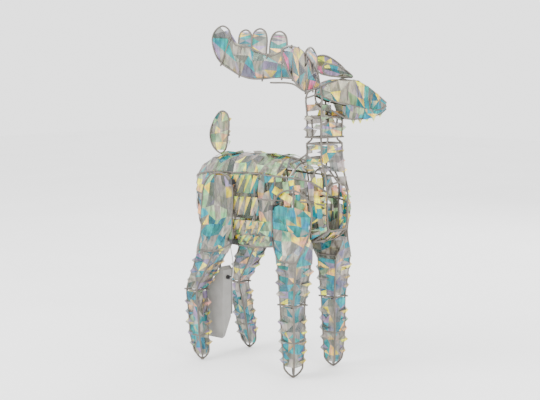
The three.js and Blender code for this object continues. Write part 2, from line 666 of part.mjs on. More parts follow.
function buildBatteryBox() {
  const { back, rim, door } = BOX_Y;
  const inner = inwards(CASE, CASE_WALL);
  const slant = new THREE.Vector2(CASE[6][0] - CASE[5][0], CASE[6][1] - CASE[5][1]).normalize();
  const onSlant = (depth) => V(BUTTON.x - slant.y * depth, BUTTON.y, BUTTON.z + slant.x * depth);
  const across = (x, z, from, to, radius, sides) => rod(V(x, from, z), V(x, to, z), radius, sides);
  const gland = (from, to, radius) => rod(V(from, GLAND.y, GLAND.z), V(to, GLAND.y, GLAND.z), radius, 10);
  const side = CASE[4][0];
  const cavity = plateY(inner, back + CASE_WALL, rim + 1).subtract(pastSlope(CASE_WALL));
  const shell = plateY(CASE, back, rim)
    .subtract(pastSlope(0))
    .subtract(cavity)
    .add(across(DOOR_SCREW.x, DOOR_SCREW.z, back + 1, rim - 1, 3.8, 10))
    .subtract(across(DOOR_SCREW.x, DOOR_SCREW.z, rim - 12, rim + 1, 1.6, 8))
    .subtract(rod(onSlant(-12), onSlant(14), BUTTON.r + GAP, 12))
    .subtract(gland(side - 6, side + 6, 3 + GAP));
  add('battery_case', shell, 'case');

  const seal = plateY(inwards(DOOR, 0.4), rim + GAP, rim + 1)
    .subtract(plateY(inwards(DOOR, CASE_WALL), rim, rim + 2));
  add('battery_door_seal', seal, 'seal');
  const lid = plateY(DOOR, rim + 1 + GAP, door)
    .subtract(across(DOOR_SCREW.x, DOOR_SCREW.z, rim - 2, door + 2, 2.2, 10));
  add('battery_door', lid, 'case');
  const screw = across(DOOR_SCREW.x, DOOR_SCREW.z, rim + 1 + GAP, door + 1, 1.2, 8)
    .add(across(DOOR_SCREW.x, DOOR_SCREW.z, door + GAP, door + 2.4, 3.6, 10));
  add('door_screw', screw, 'metal');

  const middle = (back + CASE_WALL + rim) / 2;
  CELL.x.forEach((x, k) => {
    const top = CELL.z + CELL.length;
    const tip = k % 2 === 0 ? 1 : -1;
    const end = tip > 0 ? top : CELL.z;
    const cell = rod(V(x, middle, CELL.z), V(x, middle, top), CELL.r, 10)
      .add(rod(V(x, middle, end - tip), V(x, middle, end + tip * 1.3), 2.6, 8));
    add(`battery_cell_${k + 1}`, cell, 'cell');
  });
  const contact = (z) => block(V(-143, middle - 6, z), V(-102, middle + 6, z + 0.8));
  add('contact_plate_top', contact(CELL.z + CELL.length + 1.7), 'metal');
  add('contact_plate_bottom', contact(CELL.z - 2.6), 'metal');
  add('circuit_board', block(V(-117, middle - 5, 149), V(-103, middle - 3.4, 171)), 'board');

  add('power_button', rod(onSlant(-BUTTON.out), onSlant(6), BUTTON.r, 12)
    .add(rod(onSlant(3.8), onSlant(6), 6.2, 12)), 'clip');
  add('cable_gland', gland(side - 4, side + 9, 3).add(gland(side + GAP, side + 4, 4.8))
    .subtract(gland(side - 9, side + 12, 1.7)), 'clip');
}

// A wire hook that carries the case on the torso's second ring.
const HANGER = [[-118, 188], [-119, 250], [-117, 261], [-110, 265.6], [-103, 261], [-102, 254]];

function buildHanger() {
  add('battery_hanger', tube(HANGER.map(([x, z]) => V(x, GLAND.y, z)), { perSpan: 1 }), 'clip');
}

// ---------- light strings ----------
const LEAD_R = 1.1;
const LAMP = { r: 2.6, length: 7 };
// from inside the case through the gland and up between the belly wires
const LEAD_IN = [[-101, -25, 176], [-84, -25, 176], [-80, -25, 184], [-86, -20, 215], [-99, -12, 240],
  [-99, -8, 262]];
// then round and round the inside of the torso's cage, with a lamp at every third corner
const WIND = { lines: [-5, -4, -3, -2, -1, 0, 1, 2, 3, 4, 5, 6], from: -97, pitch: 6.9, turns: 3, inset: 10 };
const LEAD_NECK = [[134, 16, 436], [149, 9, 452], [149, 8, 484], [149, 8, 502]];
// the head's string in t, s and height
const HEAD_RUN = [[0, 3, 512], [0, 3, 545], [20, 8, 565], [45, -8, 572], [70, 7, 562], [95, -4, 555],
  [112, 0, 550]];

function bodyRun() {
  const { lines, from, pitch, turns, inset } = WIND;
  const wound = Array.from({ length: lines.length * turns - 5 }, (_, k) => {
    const line = lines[k % lines.length];
    return torsoPoint(from + k * pitch, Math.abs(line), Math.sign(line) || 1, -inset);
  });
  const free = (rows) => rows.map(([x, y, z]) => V(x, y, z));
  const points = [...free(LEAD_IN), ...wound, ...free(LEAD_NECK)];
  return { points, first: LEAD_IN.length, count: wound.length };
}

function lightString(points, lamps) {
  const lead = tube(points, { radius: LEAD_R, perSpan: 1 });
  const half = V(0, 0, LAMP.length / 2);
  const lamp = (p) => rod(p.clone().sub(half), p.clone().add(half), LAMP.r, 6);
  return weld([lead, ...lamps.map((k) => lamp(points[k]))]);
}

function buildLights() {
  const { points, first, count } = bodyRun();
  const lamps = [];
  for (let k = first + 1; k < first + count; k += 3) lamps.push(k);
  add('light_string_body', lightString(points, lamps), 'lead');
  const headRun = HEAD_RUN.map(([t, s, z]) => headPlace(t, s, z));
  add('light_string_head', lightString(headRun, [2, 3, 4, 5, 6]), 'lead');
}

add('torso_frame', torsoFrame(), 'wire');
buildBodyFilm();
buildLegs();
buildClips();
buildTail();
add('head_frame', headFrame(), 'wire');
add('head_ribbon', headFilm([43, 62]), 'film');
add('muzzle_ribbon', headFilm([82, 90, 114, 132]), 'film');
add('neck_sleeve_ribbon', neckFilm([492, 517]), 'film');
buildAntlers();
buildEars();
buildBatteryBox();
buildHanger();
buildLights();

export default placed;
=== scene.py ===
"""Looks of the light-up yard reindeer: round welded wire, folded iridescent film, lamps and battery box."""
import json
import math
import random

import bpy
import numpy as np
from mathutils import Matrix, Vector


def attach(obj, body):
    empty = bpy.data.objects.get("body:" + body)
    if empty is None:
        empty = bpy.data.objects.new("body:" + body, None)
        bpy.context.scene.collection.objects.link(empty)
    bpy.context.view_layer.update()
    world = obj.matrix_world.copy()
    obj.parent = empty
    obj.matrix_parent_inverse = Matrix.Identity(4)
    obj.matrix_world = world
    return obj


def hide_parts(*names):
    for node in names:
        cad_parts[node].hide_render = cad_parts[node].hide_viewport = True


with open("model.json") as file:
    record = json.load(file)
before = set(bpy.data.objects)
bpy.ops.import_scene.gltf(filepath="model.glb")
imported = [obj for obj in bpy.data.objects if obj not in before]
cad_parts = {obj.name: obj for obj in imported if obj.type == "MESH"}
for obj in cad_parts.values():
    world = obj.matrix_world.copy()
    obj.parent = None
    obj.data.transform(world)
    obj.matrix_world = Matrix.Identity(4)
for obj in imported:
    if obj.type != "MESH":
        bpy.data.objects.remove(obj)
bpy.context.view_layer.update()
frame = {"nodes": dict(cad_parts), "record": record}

# ---------- driving dimensions, in millimetres along the deer: +X chest, +Y its left, +Z up ----------
ORIGIN = np.array([40.6, -76.5, 0.0])     # the row frame's origin in the deer's own frame
WIRE = 2.0                                # radius of the frame wire
WELD, RING_WELD, HEAD_WELD = 2.7, 2.6, 2.5   # radii of the weld beads
RING_INSET = 2.4                          # the rings' centres sit this far inside the long wires'
CORNER_CUT = 0.12                         # share of a square ring's side that the bend at its corner takes
LEG_OUT = 62.5                            # how far out the hip and shoulder arches stand
LEG_TOP = 240
LEG_LEVELS = (LEG_TOP, 195, 150, 112, 75, 55, 32, 20)
NECK_X = 149
NECK_IN = (12, 26)                        # half sizes of the post that the head slides over
NECK_OUT = (18.5, 32.5)                   # half sizes of the sleeve, and of the neck below it
NECK_FOOT_RING = 446
NECK_SHOULDER = 474
NECK_SPLIT = 487                          # the lower end of the head's sleeve
SLEEVE_RING = 528
NECK_POST_TOP = 530
SLEEVE_FILM = (489, 552)
HEAD_YAW = math.radians(60)
CORNERS = [(-1, -1), (1, -1), (1, 1), (-1, 1)]   # of a square cage, in order round it
CAGE_SIDES = list(zip(CORNERS, CORNERS[1:] + CORNERS[:1]))
LONG_LINES = (0, -2, 2, -3, 3, -5, 5)     # the section lines that carry the torso's long wires

TORSO = [(-187, 22, 394, 334), (-168, 42, 419, 292), (-142, 50, 432, 268), (-110, 52, 440, 257),
         (-48, 53, 443, 251), (7, 53, 445, 252), (64, 53, 440, 258), (105, 52, 437, 266),
         (150, 47, 428, 276), (184, 34, 398, 300)]
SECTION = [(0, 1), (0.6, 0.93), (1, 0.62), (1.04, 0.08), (1, -0.6), (0.84, -0.97), (0, -1.02)]
RING_STATIONS = [-166, -110, -48, 7, 64, 105, 150]
LEGS = {
    "front": [(12, 123.5, 65.2, 11), (20, 123.5, 65.3, 13), (75, 123.5, 66, 16), (150, 121.5, 66, 17.5),
              (LEG_TOP, 124.5, 64, 24)],
    "hind": [(12, -124, 75.4, 9), (20, -126, 75.4, 11), (55, -133.5, 75, 13.5), (150, -148, 67, 15),
             (LEG_TOP, -100, 65.5, 22)],
}
LEG_RINGS = {"front": [75, 150, LEG_TOP], "hind": [55, 150, LEG_TOP]}
ARCHES = {
    "front": [(64, 278), (64, 300), (65, 346), (84, 372), (120, 381), (148, 371), (166, 350), (160, 292)],
    "hind": [(-48, 262), (-48, 300), (-49, 388), (-66, 402), (-96, 404), (-122, 388), (-135, 345),
             (-137, 290)],
}
ARCH_RIBS = {"front": (124.5, 120, 381), "hind": (-100, -96, 404)}
TAIL = [(-152, 446), (-166, 461), (-170, 484), (-159, 509), (-144, 527), (-132, 531), (-119, 525),
        (-114, 507), (-117, 480), (-124, 450)]
HEAD = [(-14, 588, 15, 570, 22, 554, 15), (12, 598, 22, 558, 28, 538, 21), (38, 600, 24, 552, 28, 525, 20),
        (62, 597, 22, 547, 25, 523, 18), (90, 583, 17, 542, 19, 525, 13), (114, 567, 11, 541, 13, 531, 9),
        (132, 554, 5, 547, 6, 541, 4)]
HEAD_RINGS = [-13, 38, 62, 90, 114, 131]
ANTLER_ROOT = (-14, 20, 560)
ANTLER_BACK, ANTLER_SPREAD, ANTLER_LEAN = 136, 175, math.radians(4)


def tine_arch(u, v, width, height, turn):
    """An arch that leaves the palm, rounds over and comes back."""
    half = width / 2
    arch = [(half, -6), (half, height - half), (half * 0.7, height - half * 0.3), (0, height),
            (-half * 0.7, height - half * 0.3), (-half, height - half), (-half, -6)]
    c, s = math.cos(math.radians(turn)), math.sin(math.radians(turn))
    return [(u + x * c + y * s, v - x * s + y * c) for x, y in arch]


ANTLERS = {
    "right": {
        "side": 1,
        "palm": [(26, 32), (70, 24), (117, 22), (160, 34), (202, 48), (242, 70), (264, 86), (270, 98),
                 (253, 103), (219, 105), (178, 102), (130, 92), (79, 73), (40, 54)],
        "tines": [[(128, 90), (117, 99), (92, 104), (66, 96), (50, 84), (46, 58)]],
        "ribs": [((202, 48), (219, 105)), ((160, 34), (178, 102)), ((117, 22), (130, 92)),
                 ((70, 24), (79, 73))],
        "socket": [(14, 12), (28, 14), (54, 12), (108, 8)],
    },
    "left": {
        "side": -1,
        "palm": [(38, 46), (95, 45), (127, 42), (157, 42), (186, 49), (209, 60), (233, 73), (250, 92),
                 (260, 124), (253, 142), (235, 152), (218, 144), (211, 127), (200, 113), (184, 108),
                 (166, 107), (141, 97), (118, 90), (98, 91), (80, 98), (58, 92), (42, 78), (33, 60)],
        "tines": [tine_arch(176, 106, 32, 37, 0), tine_arch(140, 96, 36, 49, 0),
                  tine_arch(94, 92, 40, 47, -4)],
        "ribs": [((233, 73), (211, 127)), ((186, 49), (184, 108)), ((127, 42), (118, 90)),
                 ((80, 45), (80, 98))],
        "socket": [(14, 17), (28, 19), (54, 32), (108, 34)],
    },
}
EAR_ROOT = (56, 9, 606.5)
EAR_BACK = 60
EAR = [(0, 0), (8, 16), (28, 37), (52, 51), (70, 47), (73, 30), (64, 10), (42, 3), (18, 0)]
EARS = {"right": (1, 15, 0.5), "left": (-1, 50, 0.84)}

BODY_OF = {node: body for body, nodes in frame["record"]["behaviour"]["bodies"].items() for node in nodes}
SLOT_OF = {s["node"]: s["material_slot"] for s in frame["record"]["subparts"]}


# ---------- geometry helpers ----------
def vec(*v):
    return np.array(v, float)


def unit(v):
    return v / np.linalg.norm(v)


def between(stations, key, at):
    xs = [s[0] for s in stations]
    k = next((i for i in range(1, len(xs)) if at <= xs[i]), len(xs) - 1)
    f = (at - xs[k - 1]) / (xs[k] - xs[k - 1])
    return stations[k - 1][key] + f * (stations[k][key] - stations[k - 1][key])


def torso_point(x, line, out=0.0):
    """A point on the torso's surface; line is signed, minus on the deer's right, and may be fractional."""
    side, line = (-1 if line < 0 else 1), abs(line)
    half = between(TORSO, 1, x) + out
    top, bottom = between(TORSO, 2, x) + out, between(TORSO, 3, x) - out
    k = min(int(line), len(SECTION) - 2)
    f = line - k
    across = SECTION[k][0] + f * (SECTION[k + 1][0] - SECTION[k][0])
    up = SECTION[k][1] + f * (SECTION[k + 1][1] - SECTION[k][1])
    return vec(x, side * half * across, (top + bottom) / 2 + (top - bottom) / 2 * up)


def torso_ring(x, out):
    return [torso_point(x, line, out) for line in (0, -1, -2, -3, -4, -5, -6, 5, 4, 3, 2, 1)]


def leg_corner(kind, side, z, i, j, out=0.0):
    half = between(LEGS[kind], 3, z) + out
    return vec(between(LEGS[kind], 1, z) + i * half, side * between(LEGS[kind], 2, z) + j * half, z)


ALONG = vec(math.cos(HEAD_YAW), math.sin(HEAD_YAW), 0)
ACROSS = vec(math.sin(HEAD_YAW), -math.cos(HEAD_YAW), 0)


def head_place(t, s, z):
    return vec(NECK_X, 0, z) + ALONG * t + ACROSS * s


def head_point(t, level, side, out=0.0):
    lift = (out, 0, -out)[level]
    height, half = between(HEAD, 1 + 2 * level, t), between(HEAD, 2 + 2 * level, t)
    return head_place(t, side * (half + out), height + lift)


def head_ring(t, out):
    return [head_point(t, k, 1, out) for k in (0, 1, 2)] + [head_point(t, k, -1, out) for k in (2, 1, 0)]


def sleeve_corner(i, j, z, out=0.0):
    return vec(NECK_X + i * (NECK_OUT[0] + out), j * (NECK_OUT[1] + out), z)


def antler_axes(side):
    u = unit(ALONG * -ANTLER_BACK + ACROSS * side * ANTLER_SPREAD)
    outward = vec(u[1], -u[0], 0) * -side
    v = vec(0, 0, math.cos(ANTLER_LEAN)) + outward * math.sin(ANTLER_LEAN)
    return u, v, np.cross(u, v)


def antler_point(side, u, v, w=0.0):
    au, av, aw = antler_axes(side)
    t, s, z = ANTLER_ROOT
    return head_place(t, side * s, z) + au * u + av * v + aw * w


def smooth(points, per, closed=False):
    """A centripetal Catmull-Rom curve through the points."""
    p = np.array(points, float)
    n = len(p)
    if n < 3:
        return p
    out = []
    for k in range(n if closed else n - 1):
        p1, p2 = p[k], p[(k + 1) % n]
        p0 = p[k - 1] if closed or k else 2 * p1 - p2
        p3 = p[(k + 2) % n] if closed or k < n - 2 else 2 * p2 - p1
        t1 = max(np.linalg.norm(p1 - p0), 1e-6) ** 0.5
        t2 = t1 + max(np.linalg.norm(p2 - p1), 1e-6) ** 0.5
        t3 = t2 + max(np.linalg.norm(p3 - p2), 1e-6) ** 0.5
        for j in range(per):
            t = t1 + (t2 - t1) * j / per
            a1 = (t1 - t) / t1 * p0 + t / t1 * p1
            a2 = (t2 - t) / (t2 - t1) * p1 + (t - t1) / (t2 - t1) * p2
            a3 = (t3 - t) / (t3 - t2) * p2 + (t - t2) / (t3 - t2) * p3
            b1 = (t2 - t) / t2 * a1 + t / t2 * a2
            b2 = (t3 - t) / (t3 - t1) * a2 + (t - t1) / (t3 - t1) * a3
            out.append((t2 - t) / (t2 - t1) * b1 + (t - t1) / (t2 - t1) * b2)
    if not closed:
        out.append(p[-1])
    return np.array(out)


class Shape:
    """Collects points and faces in the deer's frame, then becomes one Blender object."""

    def __init__(self):
        self.points, self.faces, self.colours, self.flat = [], [], [], []

    def add(self, points, faces, colour=(0.5, 0.5, 0.5, 1), flat=False):
        base = len(self.points)
        self.points.extend(points)
        for face in faces:
            self.faces.append([base + k for k in face])
            self.colours.append(colour)
            self.flat.append(flat)

    def facet(self, points, colour):
        """One flat piece of film; its colour may be a list with one for each corner."""
        self.add(points, [list(range(len(points)))], colour, True)

    def wire(self, points, radius=WIRE, sides=8, closed=False):
        p = np.array(points, float)
        n = len(p)
        ahead, behind = np.roll(p, -1, 0), np.roll(p, 1, 0)
        if not closed:
            ahead[-1], behind[0] = p[-1], p[0]
        along = ahead - behind
        along /= np.linalg.norm(along, axis=1)[:, None]
        seed = vec(0, 0, 1) if abs(along[0][2]) < 0.9 else vec(1, 0, 0)
        normal = np.cross(along[0], seed)
        rings = []
        for k in range(n):
            normal = unit(normal - along[k] * normal.dot(along[k]))
            rings.append((p[k], normal.copy(), np.cross(along[k], normal)))
        scale = np.ones(n)
        if not closed:   # rounded ends
            tip, tail = rings[0], rings[-1]
            rings = [(tip[0] - along[0] * radius * 0.6, *tip[1:]), *rings,
                     (tail[0] + along[-1] * radius * 0.6, *tail[1:])]
            scale = np.concatenate([[0.55], scale, [0.55]])
        points, faces = [], []
        for (c, a, b), r in zip(rings, scale):
            for s in range(sides):
                t = 2 * math.pi * s / sides
                points.append(c + (a * math.cos(t) + b * math.sin(t)) * radius * r)
        rows = len(rings)
        for k in range(rows if closed else rows - 1):
            for s in range(sides):
                m, q = k * sides, ((k + 1) % rows) * sides
                faces.append([m + s, m + (s + 1) % sides, q + (s + 1) % sides, q + s])
        if not closed:
            faces.append(list(range(sides))[::-1])
            faces.append([(rows - 1) * sides + s for s in range(sides)])
        self.add(points, faces)

    def blob(self, at, radius, squash=(1, 1, 1), rings=5, sides=8):
        """A bead of weld, or any small rounded lump."""
        points = [vec(*at) + vec(0, 0, radius * squash[2])]
        for i in range(1, rings):
            a = math.pi * i / rings
            for s in range(sides):
                t = 2 * math.pi * s / sides
                ray = vec(math.sin(a) * math.cos(t), math.sin(a) * math.sin(t), math.cos(a))
                points.append(vec(*at) + ray * radius * vec(*squash))
        points.append(vec(*at) - vec(0, 0, radius * squash[2]))
        faces = [[0, 1 + s, 1 + (s + 1) % sides] for s in range(sides)]
        for i in range(rings - 2):
            m, q = 1 + i * sides, 1 + (i + 1) * sides
            faces += [[m + s, q + s, q + (s + 1) % sides, m + (s + 1) % sides] for s in range(sides)]
        last, m = len(points) - 1, 1 + (rings - 2) * sides
        faces += [[last, m + (s + 1) % sides, m + s] for s in range(sides)]
        self.add(points, faces)

    def build(self, name, material, nodes=(), body=None, film=False):
        mesh = bpy.data.meshes.new(name)
        mesh.from_pydata([tuple((p - ORIGIN) / 1000) for p in self.points], [], self.faces)
        mesh.polygons.foreach_set("use_smooth", [not f for f in self.flat])
        if film:
            layer = mesh.color_attributes.new("film", "FLOAT_COLOR", "CORNER")
            values = []
            for face, colour in zip(self.faces, self.colours):
                values += colour if isinstance(colour, list) else [colour] * len(face)
            layer.data.foreach_set("color", np.array(values, float).ravel())
        mesh.materials.append(material)
        mesh.update()
        obj = bpy.data.objects.new(name, mesh)
        bpy.context.scene.collection.objects.link(obj)
        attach(obj, body or BODY_OF[nodes[0]])
        if nodes:
            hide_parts(*nodes)
        return obj


def build_wires(shape, name):
    shape.build(name, WIRE_LOOK, [name.replace("wires", "frame")])


def build_film(shape, name):
    shape.build(name, FILM_LOOK, [name.replace("film", "ribbon")], film=True)


# ---------- materials ----------
def principled(name, **values):
    mat = bpy.data.materials.new(name)
    mat.use_nodes = True
    nodes, links = mat.node_tree.nodes, mat.node_tree.links
    shader = nodes["Principled BSDF"]
    for key, value in values.items():
        shader.inputs[key].default_value = value
    coords = nodes.new("ShaderNodeTexCoord")
    return mat, nodes, links, shader, coords


def new_node(nodes, kind, **values):
    node = nodes.new("ShaderNode" + kind)
    for key, value in values.items():
        node.inputs[key].default_value = value
    return node


def noise(nodes, links, coords, scale, detail=3, stretch=None):
    tex = new_node(nodes, "TexNoise", Scale=scale, Detail=detail)
    source = coords.outputs["Object"]
    if stretch:
        mapping = new_node(nodes, "Mapping", Scale=stretch)
        links.new(source, mapping.inputs["Vector"])
        source = mapping.outputs["Vector"]
    links.new(source, tex.inputs["Vector"])
    return tex


def ramp(nodes, links, source, stops):
    node = nodes.new("ShaderNodeValToRGB")
    while len(node.color_ramp.elements) < len(stops):
        node.color_ramp.elements.new(0.5)
    for element, (at, colour) in zip(node.color_ramp.elements, stops):
        element.position = at
        element.color = (*colour, 1)
    links.new(source, node.inputs["Fac"])
    return node.outputs["Color"]


def bump(nodes, links, shader, source, strength, distance):
    node = new_node(nodes, "Bump", Strength=strength, Distance=distance)
    links.new(source, node.inputs["Height"])
    links.new(node.outputs["Normal"], shader.inputs["Normal"])


def spread(nodes, links, source, low, high):
    """The middle of a noise, from 0.3 to 0.7, stretched from low to high."""
    node = new_node(nodes, "MapRange", **{"From Min": 0.3, "From Max": 0.7, "To Min": low, "To Max": high})
    links.new(source, node.inputs["Value"])
    return node.outputs["Result"]


def surface(name, dark, light, scale, rough, grain=(400, 0.08, 0.0003), **values):
    """A material whose colour and roughness wander between two values over a fine grain."""
    mat, nodes, links, shader, coords = principled(name, **values)
    cloud = noise(nodes, links, coords, scale)
    colour = ramp(nodes, links, cloud.outputs["Fac"], [(0.3, dark), (0.7, light)])
    links.new(colour, shader.inputs["Base Color"])
    links.new(spread(nodes, links, cloud.outputs["Fac"], *rough), shader.inputs["Roughness"])
    fine = noise(nodes, links, coords, grain[0], 2)
    bump(nodes, links, shader, fine.outputs["Fac"], grain[1], grain[2])
    return mat


def film_material():
    """Iridescent film: each facet's own colour, with a drift of hue and fine crinkles across it; the crinkles
    carry painted shade in their hollows and painted light on their ridges.
    """
    mat, nodes, links, shader, coords = principled(
        "film", **{"IOR": 1.48, "Metallic": 0.25, "Coat Weight": 0.3, "Coat Roughness": 0.06,
                   "Thin Film Thickness": 430.0, "Thin Film IOR": 1.6})
    facet = nodes.new("ShaderNodeVertexColor")
    facet.layer_name = "film"
    drift = noise(nodes, links, coords, scale=34, detail=2, stretch=(1, 1, 1.6))
    hue = nodes.new("ShaderNodeHueSaturation")
    links.new(spread(nodes, links, drift.outputs["Fac"], 0.44, 0.56), hue.inputs["Hue"])
    links.new(spread(nodes, links, drift.outputs["Fac"], 1.0, 1.55), hue.inputs["Saturation"])
    crease = noise(nodes, links, coords, scale=130, detail=5, stretch=(1, 1, 0.3))
    # painted shade and painted light: the crinkle noise that raises the bump also darkens the colour in its
    # hollows and lightens it on its ridges
    links.new(spread(nodes, links, crease.outputs["Fac"], 0.5, 1.55), hue.inputs["Value"])
    links.new(facet.outputs["Color"], hue.inputs["Color"])
    links.new(hue.outputs["Color"], shader.inputs["Base Color"])
    links.new(spread(nodes, links, crease.outputs["Fac"], 0.14, 0.42), shader.inputs["Roughness"])
    links.new(facet.outputs["Alpha"], shader.inputs["Alpha"])
    bump(nodes, links, shader, crease.outputs["Fac"], strength=0.5, distance=0.0016)
    through = nodes.new("ShaderNodeBsdfTranslucent")   # light that comes through the film
    links.new(hue.outputs["Color"], through.inputs["Color"])
    both = new_node(nodes, "MixShader", Fac=0.3)
    links.new(shader.outputs["BSDF"], both.inputs[1])
    links.new(through.outputs["BSDF"], both.inputs[2])
    links.new(both.outputs["Shader"], nodes["Material Output"].inputs["Surface"])
    return mat


WIRE_LOOK = surface("coated_wire", (0.075, 0.066, 0.056), (0.14, 0.124, 0.105), 60, (0.35, 0.55),
                    Metallic=0.35)
FILM_LOOK = film_material()
BLACK_LOOK = surface("black_plastic", (0.012, 0.012, 0.013), (0.03, 0.03, 0.032), 90, (0.4, 0.6))
CASE_LOOK = surface("case_plastic", (0.205, 0.198, 0.186), (0.26, 0.253, 0.238), 40, (0.4, 0.55),
                    (900, 0.12, 0.0003))
SEAL_LOOK = surface("seal_rubber", (0.02, 0.02, 0.02), (0.04, 0.04, 0.04), 150, (0.7, 0.9))
STEEL_LOOK = surface("plated_steel", (0.5, 0.5, 0.51), (0.68, 0.68, 0.69), 120, (0.2, 0.4), Metallic=1.0)
CELL_LOOK = surface("cell_jacket", (0.25, 0.14, 0.04), (0.4, 0.24, 0.08), 80, (0.25, 0.4), Metallic=0.4)
BOARD_LOOK = surface("circuit_board", (0.02, 0.11, 0.04), (0.03, 0.17, 0.06), 220, (0.35, 0.5))
LEAD_LOOK = surface("clear_lead", (0.5, 0.49, 0.46), (0.66, 0.65, 0.61), 120, (0.25, 0.4))
LAMP_LOOK = surface("lamp_lens", (0.75, 0.7, 0.58), (0.9, 0.86, 0.76), 200, (0.08, 0.2))

# ---------- film ----------
# linear colours of the film's facets
GREY, DIM, TEAL, MINT = (0.235, 0.205, 0.18), (0.085, 0.078, 0.07), (0.0, 0.17, 0.2), (0.24, 0.34, 0.2)
YELLOW, PEACH, LILAC, ROSE = (0.78, 0.6, 0.2), (0.66, 0.41, 0.22), (0.2, 0.16, 0.24), (0.34, 0.11, 0.19)
LOOKS = {
    "leg": [(GREY, 9), (TEAL, 5.6), (LILAC, 2.4), (DIM, 1.4), (PEACH, 0.9), (YELLOW, 0.9), (MINT, 0.5)],
    "back": [(GREY, 5), (MINT, 5), (YELLOW, 2), (DIM, 3), (TEAL, 1.2), (PEACH, 1)],
    "side": [(GREY, 8), (TEAL, 3.5), (MINT, 2.5), (DIM, 3.5), (YELLOW, 1.3), (PEACH, 1.4), (LILAC, 1.5)],
    "teal": [(TEAL, 7), (GREY, 2), (YELLOW, 1), (PEACH, 1)],
    "antler": [(GREY, 6), (YELLOW, 3), (TEAL, 4.5), (LILAC, 3.5), (PEACH, 1.4), (DIM, 6), (ROSE, 0.6),
               (MINT, 0.6)],
    "head": [(GREY, 7), (YELLOW, 2.2), (TEAL, 1.6), (LILAC, 2), (PEACH, 1), (MINT, 2), (DIM, 1.5)],
    "tail": [(MINT, 4), (GREY, 4), (TEAL, 1.5), (YELLOW, 2)],
    "spike_pale": [(YELLOW, 5), (PEACH, 2), (MINT, 1)],
    "spike_grey": [(GREY, 4), (LILAC, 3), (DIM, 2)],
    # painted shade: the colours of the sheet laid inside each flank, standing for the far film in shadow
    "dark": [(DIM, 6), (GREY, 3), (TEAL, 0.6)],
}


SHADE = (0.55, 1.6)            # how far a facet's brightness strays
FILM_ALPHA = (0.88, 0.98)
CLEAR_ALPHA = (0.74, 0.92)     # of the grey facets, which are clearer
RUNNING, TWO_COLOURED = 0.4, 0.5   # shares of the facets whose colour runs, and whose halves differ


def pick(rng, look):
    palette = LOOKS[look]
    r = rng.uniform(0, sum(w for _, w in palette))
    for colour, weight in palette:
        r -= weight
        if r <= 0:
            break
    shade = rng.uniform(*SHADE)
    alpha = rng.uniform(*(CLEAR_ALPHA if colour in (GREY, DIM) else FILM_ALPHA))
    return (*[min(1, c * shade) for c in colour], alpha)


def picks(rng, *looks):
    """A colour for each corner."""
    return [pick(rng, look) for look in looks]


def folded(shape, place, nu, nv, look, rng, depth, wander=0.3, holes=0.0, skip=None):
    """A sheet of film creased into facets. place(u, v), both from 0 to 1, gives a point and its normal."""
    grid = {}
    for i in range(nu + 1):
        for j in range(nv + 1):
            inner = 0 < i < nu, 0 < j < nv
            u = (i + (rng.uniform(-wander, wander) if inner[0] else 0)) / nu
            v = (j + (rng.uniform(-wander, wander) if inner[1] else 0)) / nv
            p, n = place(u, v)
            grid[i, j] = p + n * rng.uniform(-depth, depth)
    for i in range(nu):
        for j in range(nv):
            if rng.random() < holes or (skip and skip((i + 0.5) / nu, (j + 0.5) / nv)):
                continue
            a, b, c, d = grid[i, j], grid[i + 1, j], grid[i + 1, j + 1], grid[i, j + 1]
            colour = pick(rng, look)
            other = colour if rng.random() < TWO_COLOURED else pick(rng, look)
            if rng.random() < RUNNING:   # the colour runs across the facet
                colour = [colour, pick(rng, look), colour]
            halves = ((a, b, c), (a, c, d)) if rng.random() < 0.5 else ((a, b, d), (b, c, d))
            shape.facet(halves[0], colour)
            shape.facet(halves[1], other)


def patch_of(a, b, c, d, centre):
    """The flat or twisted face between four corners, turned away from the centre."""
    return patch_on(lambda u, v: (a * (1 - u) + b * u) * (1 - v) + (d * (1 - u) + c * u) * v, centre)


def edge_folds(shape, edge, beside, axis, span, rng, pitch, reach, look):
    """Ribbon corners along a wire: each folds across the face beside the wire and stands off past it."""
    z = span[0] + rng.uniform(0, pitch * 0.4)
    while z + pitch * 0.8 < span[1]:
        height = pitch * rng.uniform(0.62, 0.85)
        low, high, middle = edge(z), edge(z + height), edge(z + height / 2)
        out = middle - axis(z + height / 2)
        out[2] = 0
        out = unit(out)
        inner = middle + (beside(z + height / 2) - middle) * rng.uniform(0.42, 0.72) + out * 2.4
        tip = low * 0.45 + high * 0.55 + out * reach * rng.uniform(0.7, 1.2) + vec(0, 0, rng.uniform(-3, 2))
        crease = middle + out * 2.6
        pale, deep = pick(rng, look), pick(rng, "leg")
        shape.facet([low, inner, crease], [pale, deep, pale])
        # painted shade: the facet from the crease up, and one corner of the tip's upper facet, take grey film
        # colours for the shadow under the fold
        shape.facet([crease, inner, high], pick(rng, "spike_grey"))
        shape.facet([low, tip, crease], pale)
        shape.facet([crease, tip, high], [pick(rng, "spike_grey"), pale, deep])
        z += pitch * rng.uniform(0.85, 1.15)


def band(shape, points, normal, width, look, rng, twist):
    """A flat length of ribbon along the points."""
    p = np.array(points, float)
    along = np.gradient(p, axis=0)
    left, right = [], []
    for c, a in zip(p, along):
        lean = normal * math.sin(twist) + unit(np.cross(unit(a), normal)) * math.cos(twist)
        left.append(c + lean * width / 2)
        right.append(c - lean * width / 2)
    for k in range(len(p) - 1):
        colour = pick(rng, look)
        shape.facet([left[k], right[k], right[k + 1], left[k + 1]], colour)


# ---------- wire cages ----------
def welds(shape, rings, radius=WELD):
    for ring in rings:
        for p in ring:
            shape.blob(p, radius)


